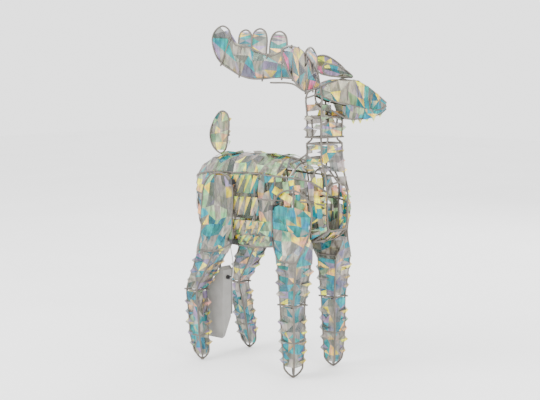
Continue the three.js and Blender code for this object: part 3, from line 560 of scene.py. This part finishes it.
def torso_wires():
    shape = Shape()
    stations = [TORSO[0][0] + 1, *RING_STATIONS, TORSO[-1][0] - 1]
    for x in stations:
        shape.wire(smooth(torso_ring(x, -RING_INSET), 3, True), closed=True)
        welds(shape, [[torso_point(x, line, -1) for line in LONG_LINES]])
    for line in LONG_LINES:
        shape.wire(smooth([torso_point(s[0], line) for s in TORSO], 5))
    nx, ny = NECK_IN
    wx, wy = NECK_OUT
    for side in (-1, 1):
        def rise(i, side=side):
            wide, post = (NECK_X + i * wx, side * wy), (NECK_X + i * nx, side * ny)
            return [(*wide, 455), (*wide, NECK_SHOULDER), (*post, NECK_SHOULDER + 9), (*post, NECK_POST_TOP)]
        shape.wire(smooth([torso_point(90, side), (114, side * 31, 444), *rise(-1)], 4))
        shape.wire(smooth([torso_point(184, 2 * side), (176, side * 31, 412), (NECK_X + wx, side * wy, 440),
                           *rise(1)], 4))
        shape.wire([torso_point(NECK_X - wx, side), vec(NECK_X - wx, side * wy, 462)])
    for (hx, hy), z in ((NECK_OUT, NECK_FOOT_RING), (NECK_OUT, NECK_SHOULDER), (NECK_IN, NECK_POST_TOP - 4)):
        rx, ry = hx - RING_INSET, hy - RING_INSET
        corners = [(NECK_X + i * rx, j * ry, z) for i, j in CORNERS]
        square_ring(shape, corners, stub=4.0 if hx == wx else 0.0)
    return shape


def square_ring(shape, corners, stub):
    """A ring bent round four uprights, with rounded corners; its two ends may run past the join."""
    c = [vec(*p) for p in corners]
    points = []
    for k in range(4):
        before, here, after = c[k - 1], c[k], c[(k + 1) % 4]
        points += [here + (before - here) * CORNER_CUT, here + (after - here) * CORNER_CUT]
    shape.wire(smooth(points, 3, True), closed=True)
    welds(shape, [c], RING_WELD)
    if stub:
        for k in (0, 2):
            out, edge = unit(c[k] - c[(k + 2) % 4]), unit(c[(k + 1) % 4] - c[k])
            shape.wire([c[k] + edge * 10, c[k] - edge * stub + out * 1.5])


def leg_wires(kind, side):
    shape = Shape()
    stations = LEGS[kind]
    fx, fy = stations[0][1], side * stations[0][2]
    for (i, j), bottom in (((-1, -1), 2.2), ((-1, 1), 5.6)):   # two wires cross under the foot
        one = [leg_corner(kind, side, z, i, j) for z in LEG_LEVELS]
        other = [leg_corner(kind, side, z, -i, -j) for z in reversed(LEG_LEVELS)]
        half = stations[0][3]
        knuckle = 7.2 + bottom * 0.3
        bend = [vec(fx + i * half * k, fy + j * half * k, z) for k, z in
                ((0.95, 13.5), (0.62, knuckle), (0, bottom), (-0.62, knuckle), (-0.95, 13.5))]
        shape.wire(smooth([*one, *bend, *other], 4))
    shape.blob((fx, fy, 2.1), 4.4, (1, 1, 0.48))
    for z in LEG_RINGS[kind]:
        corners = [leg_corner(kind, side, z, i, j, -1.2) for i, j in CORNERS]
        square_ring(shape, corners, stub=7.0 if z == 150 else 0.0)
    first = -1 if kind == "front" else 1
    ends = [leg_corner(kind, side, LEG_TOP, i, side) for i in (first, -first)]
    arch = [vec(x, side * LEG_OUT, z) for x, z in ARCHES[kind]]
    shape.wire(smooth([ends[0], *arch, ends[1]], 5))
    rib_x, top_x, top_z = ARCH_RIBS[kind]
    edge = side * (stations[-1][2] + stations[-1][3] - RING_INSET)
    out = side * LEG_OUT
    shape.wire(smooth([(rib_x, edge, LEG_TOP), (top_x, out, 278), (top_x, out, top_z)], 5))
    shape.wire([vec(top_x, out, top_z - 2), vec(top_x, out, top_z + 7)])
    return shape


def head_wires():
    shape = Shape()
    for t in HEAD_RINGS:
        shape.wire(smooth(head_ring(t, -RING_INSET), 4, True), closed=True)
        welds(shape, [head_ring(t, -1)], HEAD_WELD)
    for side in (-1, 1):
        for level in (0, 1, 2):
            shape.wire(smooth([head_point(s[0], level, side) for s in HEAD], 5))
    tops = [((-1, -1), [sleeve_corner(-1, -1, 574), head_point(-14, 0, 1)]),
            ((1, -1), [head_point(-14, 1, 1)]), ((1, 1), [head_point(38, 2, -1)]),
            ((-1, 1), [head_point(12, 1, -1)])]
    for (i, j), top in tops:
        shape.wire(smooth([sleeve_corner(i, j, NECK_SPLIT), sleeve_corner(i, j, SLEEVE_RING), *top], 5))
    for z in (NECK_SPLIT, SLEEVE_RING):
        square_ring(shape, [sleeve_corner(i, j, z, -1.2) for i, j in CORNERS], stub=5.0)
    for antler in ANTLERS.values():
        plug = [antler_point(antler["side"], u, v) for u, v in antler["socket"]]
        shape.wire(smooth([head_point(-14, 0, antler["side"]), *plug], 6))
    return shape


def antler_wires(antler):
    shape = Shape()
    side = antler["side"]
    shape.wire(smooth([antler_point(side, u, v) for u, v in antler["palm"]], 4, True), closed=True)
    for tine in antler["tines"]:
        shape.wire(smooth([antler_point(side, u, v, 1.5) for u, v in tine], 5))
    for rib in antler["ribs"]:
        ends = [antler_point(side, u, v, -1.5) for u, v in rib]
        reach = unit(ends[1] - ends[0])
        shape.wire([ends[0] - reach * 5, ends[1] + reach * 2])
        welds(shape, [ends], RING_WELD)
    return shape


def tail_wires():
    shape = Shape()
    foot = torso_point(-137, 0, 3.6)
    loop = [vec(x, 0, z) for x, z in TAIL] + [vec(foot[0], 0, foot[2] + 3.4)]
    shape.wire(smooth(loop, 4, True), closed=True)
    shape.wire([loop[2] + vec(-2, 1.5, 0), loop[8] + vec(3, 1.5, 0)])
    return shape


def ear_point(word, along, up, out=0.0):
    side, spread, rise = EARS[word]
    u = unit(ALONG * -EAR_BACK + ACROSS * side * spread)
    normal = np.cross(u, vec(0, 0, 1))
    t, s, z = EAR_ROOT
    return head_place(t, side * s, z) + u * along + vec(0, 0, up * rise) + normal * out


def ear_wires(word):
    shape = Shape()
    shape.wire(smooth([ear_point(word, a, b) for a, b in EAR], 4, True), closed=True)
    return shape


# ---------- film on the cages ----------
def outward(place, u, v, centre):
    """The surface normal at u, v of a patch given by place, turned away from the centre."""
    step = 0.02
    a = place(min(u + step, 1), v) - place(max(u - step, 0), v)
    b = place(u, min(v + step, 1)) - place(u, max(v - step, 0))
    n = np.cross(a, b)
    n /= max(np.linalg.norm(n), 1e-9)
    return n if n.dot(place(u, v) - centre) > 0 else -n


def patch_on(surface, centre):
    return lambda u, v: (surface(u, v), outward(surface, u, v, centre))


def torso_patch(x0, x1, l0, l1, out=0.8):
    def at(u, v):
        return torso_point(x0 + (x1 - x0) * u, l0 + (l1 - l0) * v, out)
    return patch_on(at, vec((x0 + x1) / 2, 0, 348))


# a flank's sheets: from x to x, line to line, cells along and across, look, depth of fold, share of the
# cells left open, and height off the cage
FLANK_PATCHES = [
    (-164, -110, 1.95, 5, 4, 9, "side", 3.0, 0.0, 0.8), (-110, 64, 3.7, 5, 9, 4, "back", 2.6, 0.0, 0.8),
    (-110, 20, 1.95, 2.25, 7, 1, "back", 2.0, 0.0, 0.8), (20, 60, 1.95, 3.7, 3, 5, "side", 3.0, 0.06, 0.8),
    # the last sheet, 7 mm inside the cage in dark colours, is painted shade standing for the far film in
    # shadow
    (64, 146, 3.5, 5, 5, 4, "side", 2.6, 0.15, 0.8), (-108, 22, 2.25, 3.7, 9, 4, "dark", 1.5, 0.0, -7),
]
FOLD_ROWS = ((2.12, 2.8), (2.95, 3.55), (3.7, 4.25), (4.3, 4.85))   # top and bottom line of each row of folds
FOLD_FROM, FOLD_PITCH = -106, 17.5
STRIP_STEPS = (0, 0.35, 0.7, 1)
# single strips: x, first and last line, look
FLANK_STRIPS = ((72, 1.9, 2.8, "back"), (92, 2.2, 3.6, "spike_pale"), (104, 1.9, 2.5, "teal"),
                (118, 1.9, 3.0, "side"), (134, 2.4, 3.8, "back"))
CHEST_STRIPS = ((152, 2.0, 2.9, "side"), (164, 2.3, 3.4, "spike_pale"), (170, 3.2, 4.6, "teal"))
# folds up a square cage: the corner they stand on, the one they fold towards, look and reach
LEG_FOLDS = (((1, 1), (1, -1), "spike_pale", 7.5), ((-1, -1), (1, -1), "spike_grey", 7.0),
             ((-1, 1), (-1, -1), "spike_grey", 5.0), ((1, 1), (-1, 1), "leg", 4.0))
NECK_FOLDS = (((1, 1), (1, -1), "spike_pale", 8.0), ((-1, -1), (1, -1), "head", 8.0),
              ((-1, 1), (-1, -1), "spike_grey", 5.0), ((1, -1), (1, 1), "head", 3.0))
TINE_FILLED = 0.36   # share of a tine's outline, from each foot, that holds film


def side_film(side, rng):
    """A flank: facets, four rows of slanted folds over a dark sheet of painted shade, and strips over the
    open chest.
    """
    shape = Shape()
    for x0, x1, l0, l1, along, across, look, depth, holes, out in FLANK_PATCHES:
        sheet = torso_patch(x0, x1, side * l0, side * l1, out)
        folded(shape, sheet, along, across, look, rng, depth, holes=holes)
    for row, (top, bottom) in enumerate(FOLD_ROWS):
        for k in range(8 if row > 1 else 7):
            x = FOLD_FROM + k * FOLD_PITCH
            high, low = torso_point(x + 19, side * top, 2.5), torso_point(x - 2, side * bottom, 1.5)
            fold, crest = torso_point(x + 9, side * bottom, -3), torso_point(x + 10, side * top, 5)
            tail_end = torso_point(x + 20, side * (top + 0.25), -1)
            edge = [(*YELLOW, 0.95), (*(MINT if (k + row) % 3 else PEACH), 0.95), (*YELLOW, 0.95)]
            shape.facet([low, crest, high], edge)
            shape.facet([low, high, tail_end, fold], pick(rng, "side"))
            if (k + row) % 2:
                shape.facet([fold, tail_end, torso_point(x + 18, side * bottom, -2)], (*TEAL, 0.92))
    for x, l0, l1, look in FLANK_STRIPS:
        points = [torso_point(x + 9 * t, side * (l0 + (l1 - l0) * t), 1.5) for t in STRIP_STEPS]
        band(shape, points, vec(0, side, 0.2), 13, look, rng, 0.25)
    points = [torso_point(x, side * (2.55 + 0.009 * (x - 64)), 4.5) for x in (64, 88, 112, 140)]
    band(shape, points, vec(0, side, 0.1), 14, "spike_pale", rng, 0.15)
    points = [torso_point(x, side * (2.75 + 0.002 * (x + 160)), 4.5) for x in (-162, -140, -122, -104)]
    band(shape, points, vec(0, side, 0.1), 17, "spike_pale", rng, 0.1)
    return shape


def back_film(rng):
    shape = Shape()
    folded(shape, torso_patch(-164, 82, -1.95, 1.95, 2.2), 16, 6, "back", rng, 3.4)
    for k in range(7):
        x = -150 + 33 * k
        line = rng.uniform(-1.2, 1.2)
        points = [torso_point(x + 14 * t, line + 0.25 * t, 5.5 + 2.5 * math.sin(2.2 * t)) for t in range(4)]
        band(shape, points, vec(0, 0, 1), 20, "back", rng, rng.uniform(-0.35, 0.35))
    return shape


def belly_film(rng):
    shape = Shape()
    folded(shape, torso_patch(-94, 102, -5, -6, 1.0), 10, 2, "side", rng, 2.4)
    folded(shape, torso_patch(-94, 102, 5, 6, 1.0), 10, 2, "side", rng, 2.4)
    return shape


def end_film(x0, x1, l0, l1, look, rng, holes):
    shape = Shape()
    across = int((l1 - l0) * 3) + 1
    for s in (-1, 1):
        folded(shape, torso_patch(x0, x1, s * l0, s * l1), 2, across, look, rng, 2.6, holes=holes)
    return shape


def leg_faces(kind, side, z0, z1, nz, look, rng, depth, holes):
    shape = Shape()
    for a, b in CAGE_SIDES:
        def at(u, v, a=a, b=b):
            z = z0 + (z1 - z0) * u
            return leg_corner(kind, side, z, *a, 0.4) * (1 - v) + leg_corner(kind, side, z, *b, 0.4) * v
        middle = leg_corner(kind, side, (z0 + z1) / 2, 0, 0)
        folded(shape, patch_on(at, middle), nz, 2, look, rng, depth, holes=holes)
    return shape


def leg_spikes(shape, kind, side, z0, z1, rng):
    """Folds of ribbon up the sides of a leg."""
    def corner(i, j):
        return lambda z: leg_corner(kind, side, z, i, j, 0.6)
    for base, beside, look, reach in LEG_FOLDS:
        edge_folds(shape, corner(*base), corner(*beside), corner(0, 0), (z0, z1), rng, 21, reach, look)


def arch_film(kind, side, rng):
    """Creased film inside a hip or shoulder arch; the shoulder's upper part is open."""
    arch = [vec(x, side * LEG_OUT, z) for x, z in ARCHES[kind]]
    edge = smooth(arch, 4)
    top_z = max(z for _, z in ARCHES[kind])
    rear, fore = edge[: len(edge) // 2], edge[len(edge) // 2:][::-1]

    def at(u, v):
        z_low = min(rear[0][2], fore[0][2])
        z = z_low + (top_z - 4 - z_low) * u

        def on(run):
            zs = [p[2] for p in run]
            order = np.argsort(zs)
            return np.interp(z, np.array(zs)[order], np.array([p[0] for p in run])[order])
        return vec(on(rear) * (1 - v) + on(fore) * v, side * (LEG_OUT + 0.6), z)

    shape = Shape()
    limit = 0.62 if kind == "front" else 1.0
    look = "teal" if kind == "front" else "side"
    folded(shape, patch_on(at, vec(arch[0][0], 0, 330)), 6, 5, look, rng, 2.2, skip=lambda u, v: u > limit)
    return shape


def arch_skirt(shape, kind, side, rng):
    """Film from the top of a leg's cage up to its arch and to the torso."""
    first = -1 if kind == "front" else 1
    centre = vec(between(LEGS[kind], 1, LEG_TOP), side * 60, 262)
    tops = {}
    for i, (x, z) in ((first, ARCHES[kind][1]), (-first, ARCHES[kind][-1])):
        tops[i] = vec(x, side * (LEG_OUT + 0.6), z), vec(x, side * 49, 272)
    low = {(i, j): leg_corner(kind, side, LEG_TOP - 8, i, j * side, 2.2) for i in (-1, 1) for j in (-1, 1)}
    outside = patch_of(low[first, 1], tops[first][0], tops[-first][0], low[-first, 1], centre)
    folded(shape, outside, 3, 4, "leg", rng, 1.8)
    for i in (-1, 1):
        folded(shape, patch_of(low[i, 1], tops[i][0], tops[i][1], low[i, -1], centre), 3, 2, "leg", rng, 1.6)
    inside = patch_of(low[first, -1], tops[first][1], tops[-first][1], low[-first, -1], centre)
    folded(shape, inside, 2, 3, "leg", rng, 1.2)


def palm_film(points_at, outline, columns, rows, look, rng, depth=2.4, out=0.6, wander=0.3):
    """Film stretched over a flat loop: cut across in columns between its lower and upper edge."""
    dense = smooth(outline, 5, True)
    lo, hi = dense[:, 0].min() + 2.5, dense[:, 0].max() - 2.5

    def span(u):
        x = lo + (hi - lo) * u
        ys = []
        for a, b in zip(dense, np.roll(dense, -1, 0)):
            if (a[0] - x) * (b[0] - x) <= 0 and abs(a[0] - b[0]) > 1e-9:
                ys.append(a[1] + (b[1] - a[1]) * (x - a[0]) / (b[0] - a[0]))
        return x, min(ys), max(ys)

    shape = Shape()
    for face in (-1, 1):
        def at(u, v, face=face):
            x, y0, y1 = span(u)
            bulge = math.sin(math.pi * v) * 3.0
            return points_at(x, y0 + (y1 - y0) * v, face * (out + bulge))

        def place(u, v, face=face, at=at):
            return at(u, v), unit(points_at(10, 10, face) - points_at(10, 10, 0))
        folded(shape, place, columns, rows, look, rng, depth, wander)
    return shape


def tine_film(shape, antler, tine, rng):
    """Film caught in the lower part of a tine."""
    side = antler["side"]
    pts = [antler_point(side, u, v, 0.5) for u, v in smooth([(*p, 0) for p in tine], 2)[:, :2]]
    n = len(pts)
    stop = max(2, int(n * TINE_FILLED))
    for k in range(stop):
        a, b = pts[k], pts[k + 1]
        d, c = pts[n - 1 - k], pts[n - 2 - k]
        if n - 2 - k <= k + 1:
            break
        mid = (a + b + c + d) / 4
        for near, far in ((a, b), (b, c), (c, d), (d, a)):
            shape.facet([near, far, mid], pick(rng, "antler"))


def head_skin(t0, t1, nt, look, rng, out, jaw=None, eye=None):
    """Film round the head. It is open behind the jaw, and one cell is left out at each eye."""
    shape = Shape()
    for k in range(6):
        start = jaw if jaw and k in (1, 2, 3) else t0

        def at(u, v, k=k, start=start):
            ring = head_ring(start + (t1 - start) * u, out)
            return ring[k] * (1 - v) + ring[(k + 1) % 6] * v
        middle = head_place((t0 + t1) / 2, 0, 555)
        skip = (lambda u, v: eye[0] < u < eye[1] and v > 0.5) if eye and k in (0, 4) else None
        folded(shape, patch_on(at, middle), nt, 2, look, rng, 1.8, skip=skip)
    return shape


def neck_film(rng, z0, z1, rows, corners_at, holes):
    shape = Shape()
    for a, b in CAGE_SIDES:
        def at(u, v, a=a, b=b):
            z = z0 + (z1 - z0) * u
            return corners_at(*a, z) * (1 - v) + corners_at(*b, z) * v
        folded(shape, patch_on(at, vec(NECK_X, 0, (z0 + z1) / 2)), rows, 2, "head", rng, 2.0, holes=holes)
    return shape


def lower_neck_corner(i, j, z):
    """A corner of the body's neck between the torso and its shoulder."""
    if i < 0:
        return vec(NECK_X - NECK_OUT[0], j * NECK_OUT[1], z)
    heights = (380, 412, 440, NECK_SHOULDER)
    return vec(np.interp(z, heights, (184, 176, NECK_X + NECK_OUT[0], NECK_X + NECK_OUT[0])),
               j * np.interp(z, heights, (34, 31, NECK_OUT[1], NECK_OUT[1])), z)


def neck_folds(shape, corner_at, span, rng):
    def edge(i, j):
        return lambda z: corner_at(i, j, z)

    def axis(z):
        return vec(NECK_X, 0, z)
    for base, beside, look, reach in NECK_FOLDS:
        edge_folds(shape, edge(*base), edge(*beside), axis, span, rng, 20, reach, look)


# ---------- the deer ----------
SEEDS = {"flank": 11, "back": 21, "belly": 22, "rump": 23, "chest": 24, "head": 31, "muzzle": 32,
         "sleeve": 33, "antler": 40, "ear": 50, "tail": 61, "leg": 70}


def seeded(part, step=0):
    return random.Random(SEEDS[part] + step)


def build_body():
    build_wires(torso_wires(), "torso_wires")
    for word, side in (("right", -1), ("left", 1)):
        flank = side_film(side, seeded("flank", side))
        build_film(flank, f"torso_film_{word}")
    build_film(back_film(seeded("back")), "torso_film_back")
    build_film(belly_film(seeded("belly")), "torso_film_belly")
    rump = end_film(-185, -164, 0, 6, "side", seeded("rump"), 0.0)
    build_film(rump, "torso_film_rump")
    rng = seeded("chest")
    chest = end_film(148, 182, 2.6, 6, "side", rng, 0.3)
    for a, b, z0 in (((1, -1), (1, 1), 388), ((-1, -1), (1, -1), 432), ((1, 1), (-1, 1), 432),
                     ((-1, 1), (-1, -1), 432)):
        z1 = NECK_SHOULDER - 4
        face = patch_of(lower_neck_corner(*a, z0), lower_neck_corner(*a, z1), lower_neck_corner(*b, z1),
                        lower_neck_corner(*b, z0), vec(NECK_X, 0, 440))
        folded(chest, face, 5, 3, "head", rng, 1.8, holes=0.38)
    neck_folds(chest, lower_neck_corner, (410, NECK_SHOULDER), rng)
    for s in (-1, 1):
        for k in range(5):
            line = 1.9 + 0.42 * k
            low, high = torso_point(183, s * (line + 0.4), 1), torso_point(183, s * line, 1)
            middle = (low + high) / 2
            tip = middle + vec(rng.uniform(1.5, 3), s * rng.uniform(5, 8), rng.uniform(-2, 2))
            inner = middle + vec(-rng.uniform(12, 20), s * 4, 0)
            chest.facet([low, inner, high], picks(rng, "leg", "spike_pale", "head"))
            chest.facet([low, tip, high], pick(rng, "spike_pale"))
        for x, l0, l1, look in CHEST_STRIPS:
            points = [torso_point(x + 5 * t, s * (l0 + (l1 - l0) * t), 1.5) for t in STRIP_STEPS]
            band(chest, points, vec(0.4, s, 0.2), 11, look, rng, 0.25)
    build_film(chest, "torso_film_chest")


def build_leg(kind, word, side):
    rng = seeded("leg", 10 * (kind == "hind") + side)
    name = f"leg_{kind}_{word}"
    knee = LEG_RINGS[kind][1]
    build_wires(leg_wires(kind, side), f"{name}_wires")
    foot = 24 if kind == "front" and side < 0 else 12
    lower = leg_faces(kind, side, foot, knee - 4, 8, "leg", rng, 1.0, 0.02)
    leg_spikes(lower, kind, side, 26, knee - 6, rng)
    build_film(lower, f"{name}_lower_film")
    upper = leg_faces(kind, side, knee + 3, LEG_TOP - 1, 6, "leg", rng, 1.6, 0.03)
    leg_spikes(upper, kind, side, knee + 8, LEG_TOP - 6, rng)
    build_film(upper, f"{name}_upper_film")
    arch = arch_film(kind, side, rng)
    arch_skirt(arch, kind, side, rng)
    top = "shoulder" if kind == "front" else "hip"
    build_film(arch, f"{name}_{top}_film")


def build_head():
    build_wires(head_wires(), "head_wires")
    rng = seeded("head")
    skull = head_skin(-12, 76, 5, "head", rng, 2.2, jaw=34)
    for k in range(5):   # ribbon corners under the jaw
        t = 48 + 16 * k
        low, high = head_point(t, 2, 1, 1), head_point(t + 12, 2, 1, 1)
        tip = (low + high) / 2 - vec(0, 0, rng.uniform(7, 11))
        skull.facet([low, tip, high], picks(rng, "head", "spike_pale", "leg"))
    for k in range(4):   # folds over the crown
        t = 12 + 20 * k
        low, high = head_point(t, 0, 1, 2.5), head_point(t + 15, 0, 1, 2.5)
        inner = head_point(t + 9, 0, -0.2, 3) + vec(0, 0, 0.5)
        skull.facet([low, inner, high], picks(rng, "back", "spike_pale", "back"))
    build_film(skull, "head_film")
    muzzle = head_skin(76, 131, 5, "teal", seeded("muzzle"), 2.2, eye=(0.1, 0.45))
    build_film(muzzle, "muzzle_film")
    rng = seeded("sleeve")
    neck = neck_film(rng, *SLEEVE_FILM, 5, lambda i, j, z: sleeve_corner(i, j, z, 0.5), holes=0.34)
    neck_folds(neck, lambda i, j, z: sleeve_corner(i, j, z, 0.6), (492, SLEEVE_FILM[1]), rng)
    build_film(neck, "neck_sleeve_film")
    for word, antler in ANTLERS.items():
        side = antler["side"]
        rng = seeded("antler", side)
        build_wires(antler_wires(antler), f"antler_{word}_wires")

        def at(u, v, w, side=side):
            return antler_point(side, u, v, w)
        film = palm_film(at, antler["palm"], 8, 3, "antler", rng, wander=0.45)
        for tine in antler["tines"]:
            tine_film(film, antler, tine, rng)
        build_film(film, f"antler_{word}_film")
    for word in EARS:
        rng = seeded("ear", EARS[word][0])
        build_wires(ear_wires(word), f"ear_{word}_wires")

        def on_ear(u, v, w, word=word):
            return ear_point(word, u, v, w)
        film = palm_film(on_ear, EAR, 4, 3, "antler", rng, 1.2, 0.5)
        build_film(film, f"ear_{word}_film")


def build_tail():
    build_wires(tail_wires(), "tail_wires")
    upright = [(z, x) for x, z in TAIL]

    def at(u, v, w):
        return vec(v, w, u)
    rng = seeded("tail")
    film = palm_film(at, upright, 5, 3, "tail", rng, 1.6)
    for low_z, high_z, reach in ((505, 519, 7), (478, 492, 4), (456, 470, 4)):
        low, high = vec(-117, 1.5, low_z), vec(-117, 1.5, high_z)
        tip = vec(-115 + reach, 3, (low_z + high_z) / 2 + 4)
        film.facet([low, tip, high], picks(rng, "tail", "spike_pale", "tail"))
    build_film(film, "tail_film")


# the string's lead: out of the case, round and round inside the torso, and up the neck
LEAD_IN = [(-101, -25, 176), (-84, -25, 176), (-80, -25, 184), (-86, -20, 215), (-99, -12, 240),
           (-99, -8, 262)]
WIND_LINES = range(-5, 7)
WIND_FROM, WIND_PITCH, WIND_COUNT, WIND_INSET = -97, 6.9, 31, 10
LEAD_NECK = [(134, 16, 436), (149, 9, 452), (149, 8, 484), (149, 8, 502)]
HEAD_RUN = [(0, 3, 512), (0, 3, 545), (20, 8, 565), (45, -8, 572), (70, 7, 562), (95, -4, 555), (112, 0, 550)]


def light_string(points, lamps, name, node):
    """A clear lead with a lens over every lamp."""
    lead, lenses = Shape(), Shape()
    lead.wire(smooth(points, 5), 1.0, 6)
    for k in lamps:
        lenses.blob(points[k], 2.5, (1, 1, 1.45), 7, 10)
    lead.build(name, LEAD_LOOK, [node])
    lenses.build(f"{name}_lenses", LAMP_LOOK, body=BODY_OF[node])


def build_lights():
    wound = [torso_point(WIND_FROM + k * WIND_PITCH, WIND_LINES[k % len(WIND_LINES)], -WIND_INSET)
             for k in range(WIND_COUNT)]
    points = [vec(*p) for p in LEAD_IN] + wound + [vec(*p) for p in LEAD_NECK]
    first = len(LEAD_IN)
    light_string(points, range(first + 1, first + WIND_COUNT, 3), "string_body", "light_string_body")
    light_string([head_place(*p) for p in HEAD_RUN], range(2, 7), "string_head", "light_string_head")


CAD_LOOKS = {
    "frame_wire": WIRE_LOOK, "black_plastic": BLACK_LOOK, "case_plastic": CASE_LOOK, "seal_rubber": SEAL_LOOK,
    "plated_steel": STEEL_LOOK, "cell_jacket": CELL_LOOK, "circuit_board": BOARD_LOOK,
    "light_lead": LEAD_LOOK,
}
BEVELS = {"battery_case": 1.4, "battery_door": 1.0, "power_button": 0.6, "door_screw": 0.5}


def dress_cad():
    """Every CAD node that still shows gets its material, and rounded edges where it is a moulding."""
    for node, obj in frame["nodes"].items():
        look = CAD_LOOKS.get(SLOT_OF[node])
        if look:
            if not obj.material_slots:
                obj.data.materials.append(look)
            for slot in obj.material_slots:
                slot.material = look
        width = BEVELS.get(node, 0.8 if node.startswith("clip_") else 0)
        if width:
            mod = obj.modifiers.new("edge", "BEVEL")
            mod.width = width / 1000
            mod.segments = 3
            mod.limit_method = "ANGLE"
            mod.angle_limit = math.radians(35)


# ---------- studio ----------
VIEW_CENTRE = vec(3.26, 0, 348.24)
VIEW_AZIMUTH, VIEW_ELEVATION = math.radians(41.29), math.radians(6.44)
VIEW_DISTANCE, LENS = 2.6, 82.55          # metres, millimetres
WORLD_STRENGTH = 2.4
# name, place, size and power of each area light, in metres and watts
LIGHTS = (("key", (-0.9, -2.0, 2.2), 1.2, 62), ("side", (2.2, -0.6, 1.4), 1.0, 34),
          ("rim", (-0.4, 2.2, 1.8), 1.6, 34))


def studio():
    centre = (VIEW_CENTRE - ORIGIN) / 1000
    azimuth, elevation = VIEW_AZIMUTH, VIEW_ELEVATION
    back = vec(math.sin(azimuth) * math.cos(elevation), -math.cos(azimuth) * math.cos(elevation),
               math.sin(elevation))
    camera = bpy.data.objects.new("camera", bpy.data.cameras.new("camera"))
    camera.location = centre + back * VIEW_DISTANCE
    camera.rotation_euler = Vector(-back).to_track_quat("-Z", "Y").to_euler()
    camera.data.sensor_width = 36
    camera.data.lens = LENS
    bpy.context.scene.collection.objects.link(camera)
    bpy.context.scene.camera = camera

    bpy.ops.mesh.primitive_plane_add(size=14, location=(0, 0, 0))
    floor = bpy.context.object
    floor.name = "floor"
    floor.data.materials.append(surface("pale_floor", (0.94, 0.94, 0.94), (0.97, 0.97, 0.97), 3, (0.7, 0.8),
                                        (50, 0.02, 0.0005)))

    world = bpy.data.worlds.new("studio")
    bpy.context.scene.world = world
    world.use_nodes = True
    world.node_tree.nodes["Background"].inputs["Color"].default_value = (1, 1, 1, 1)
    world.node_tree.nodes["Background"].inputs["Strength"].default_value = WORLD_STRENGTH
    for name, at, size, power in LIGHTS:
        lamp = bpy.data.lights.new(name, "AREA")
        lamp.size = size
        lamp.energy = power
        holder = bpy.data.objects.new(name, lamp)
        holder.location = at
        holder.rotation_euler = (Vector((0, 0, 0.35)) - Vector(at)).to_track_quat("-Z", "Y").to_euler()
        bpy.context.scene.collection.objects.link(holder)


studio()
build_body()
for kind in ("front", "hind"):
    for word, side in (("right", -1), ("left", 1)):
        build_leg(kind, word, side)
build_tail()
build_head()
build_lights()
dress_cad()
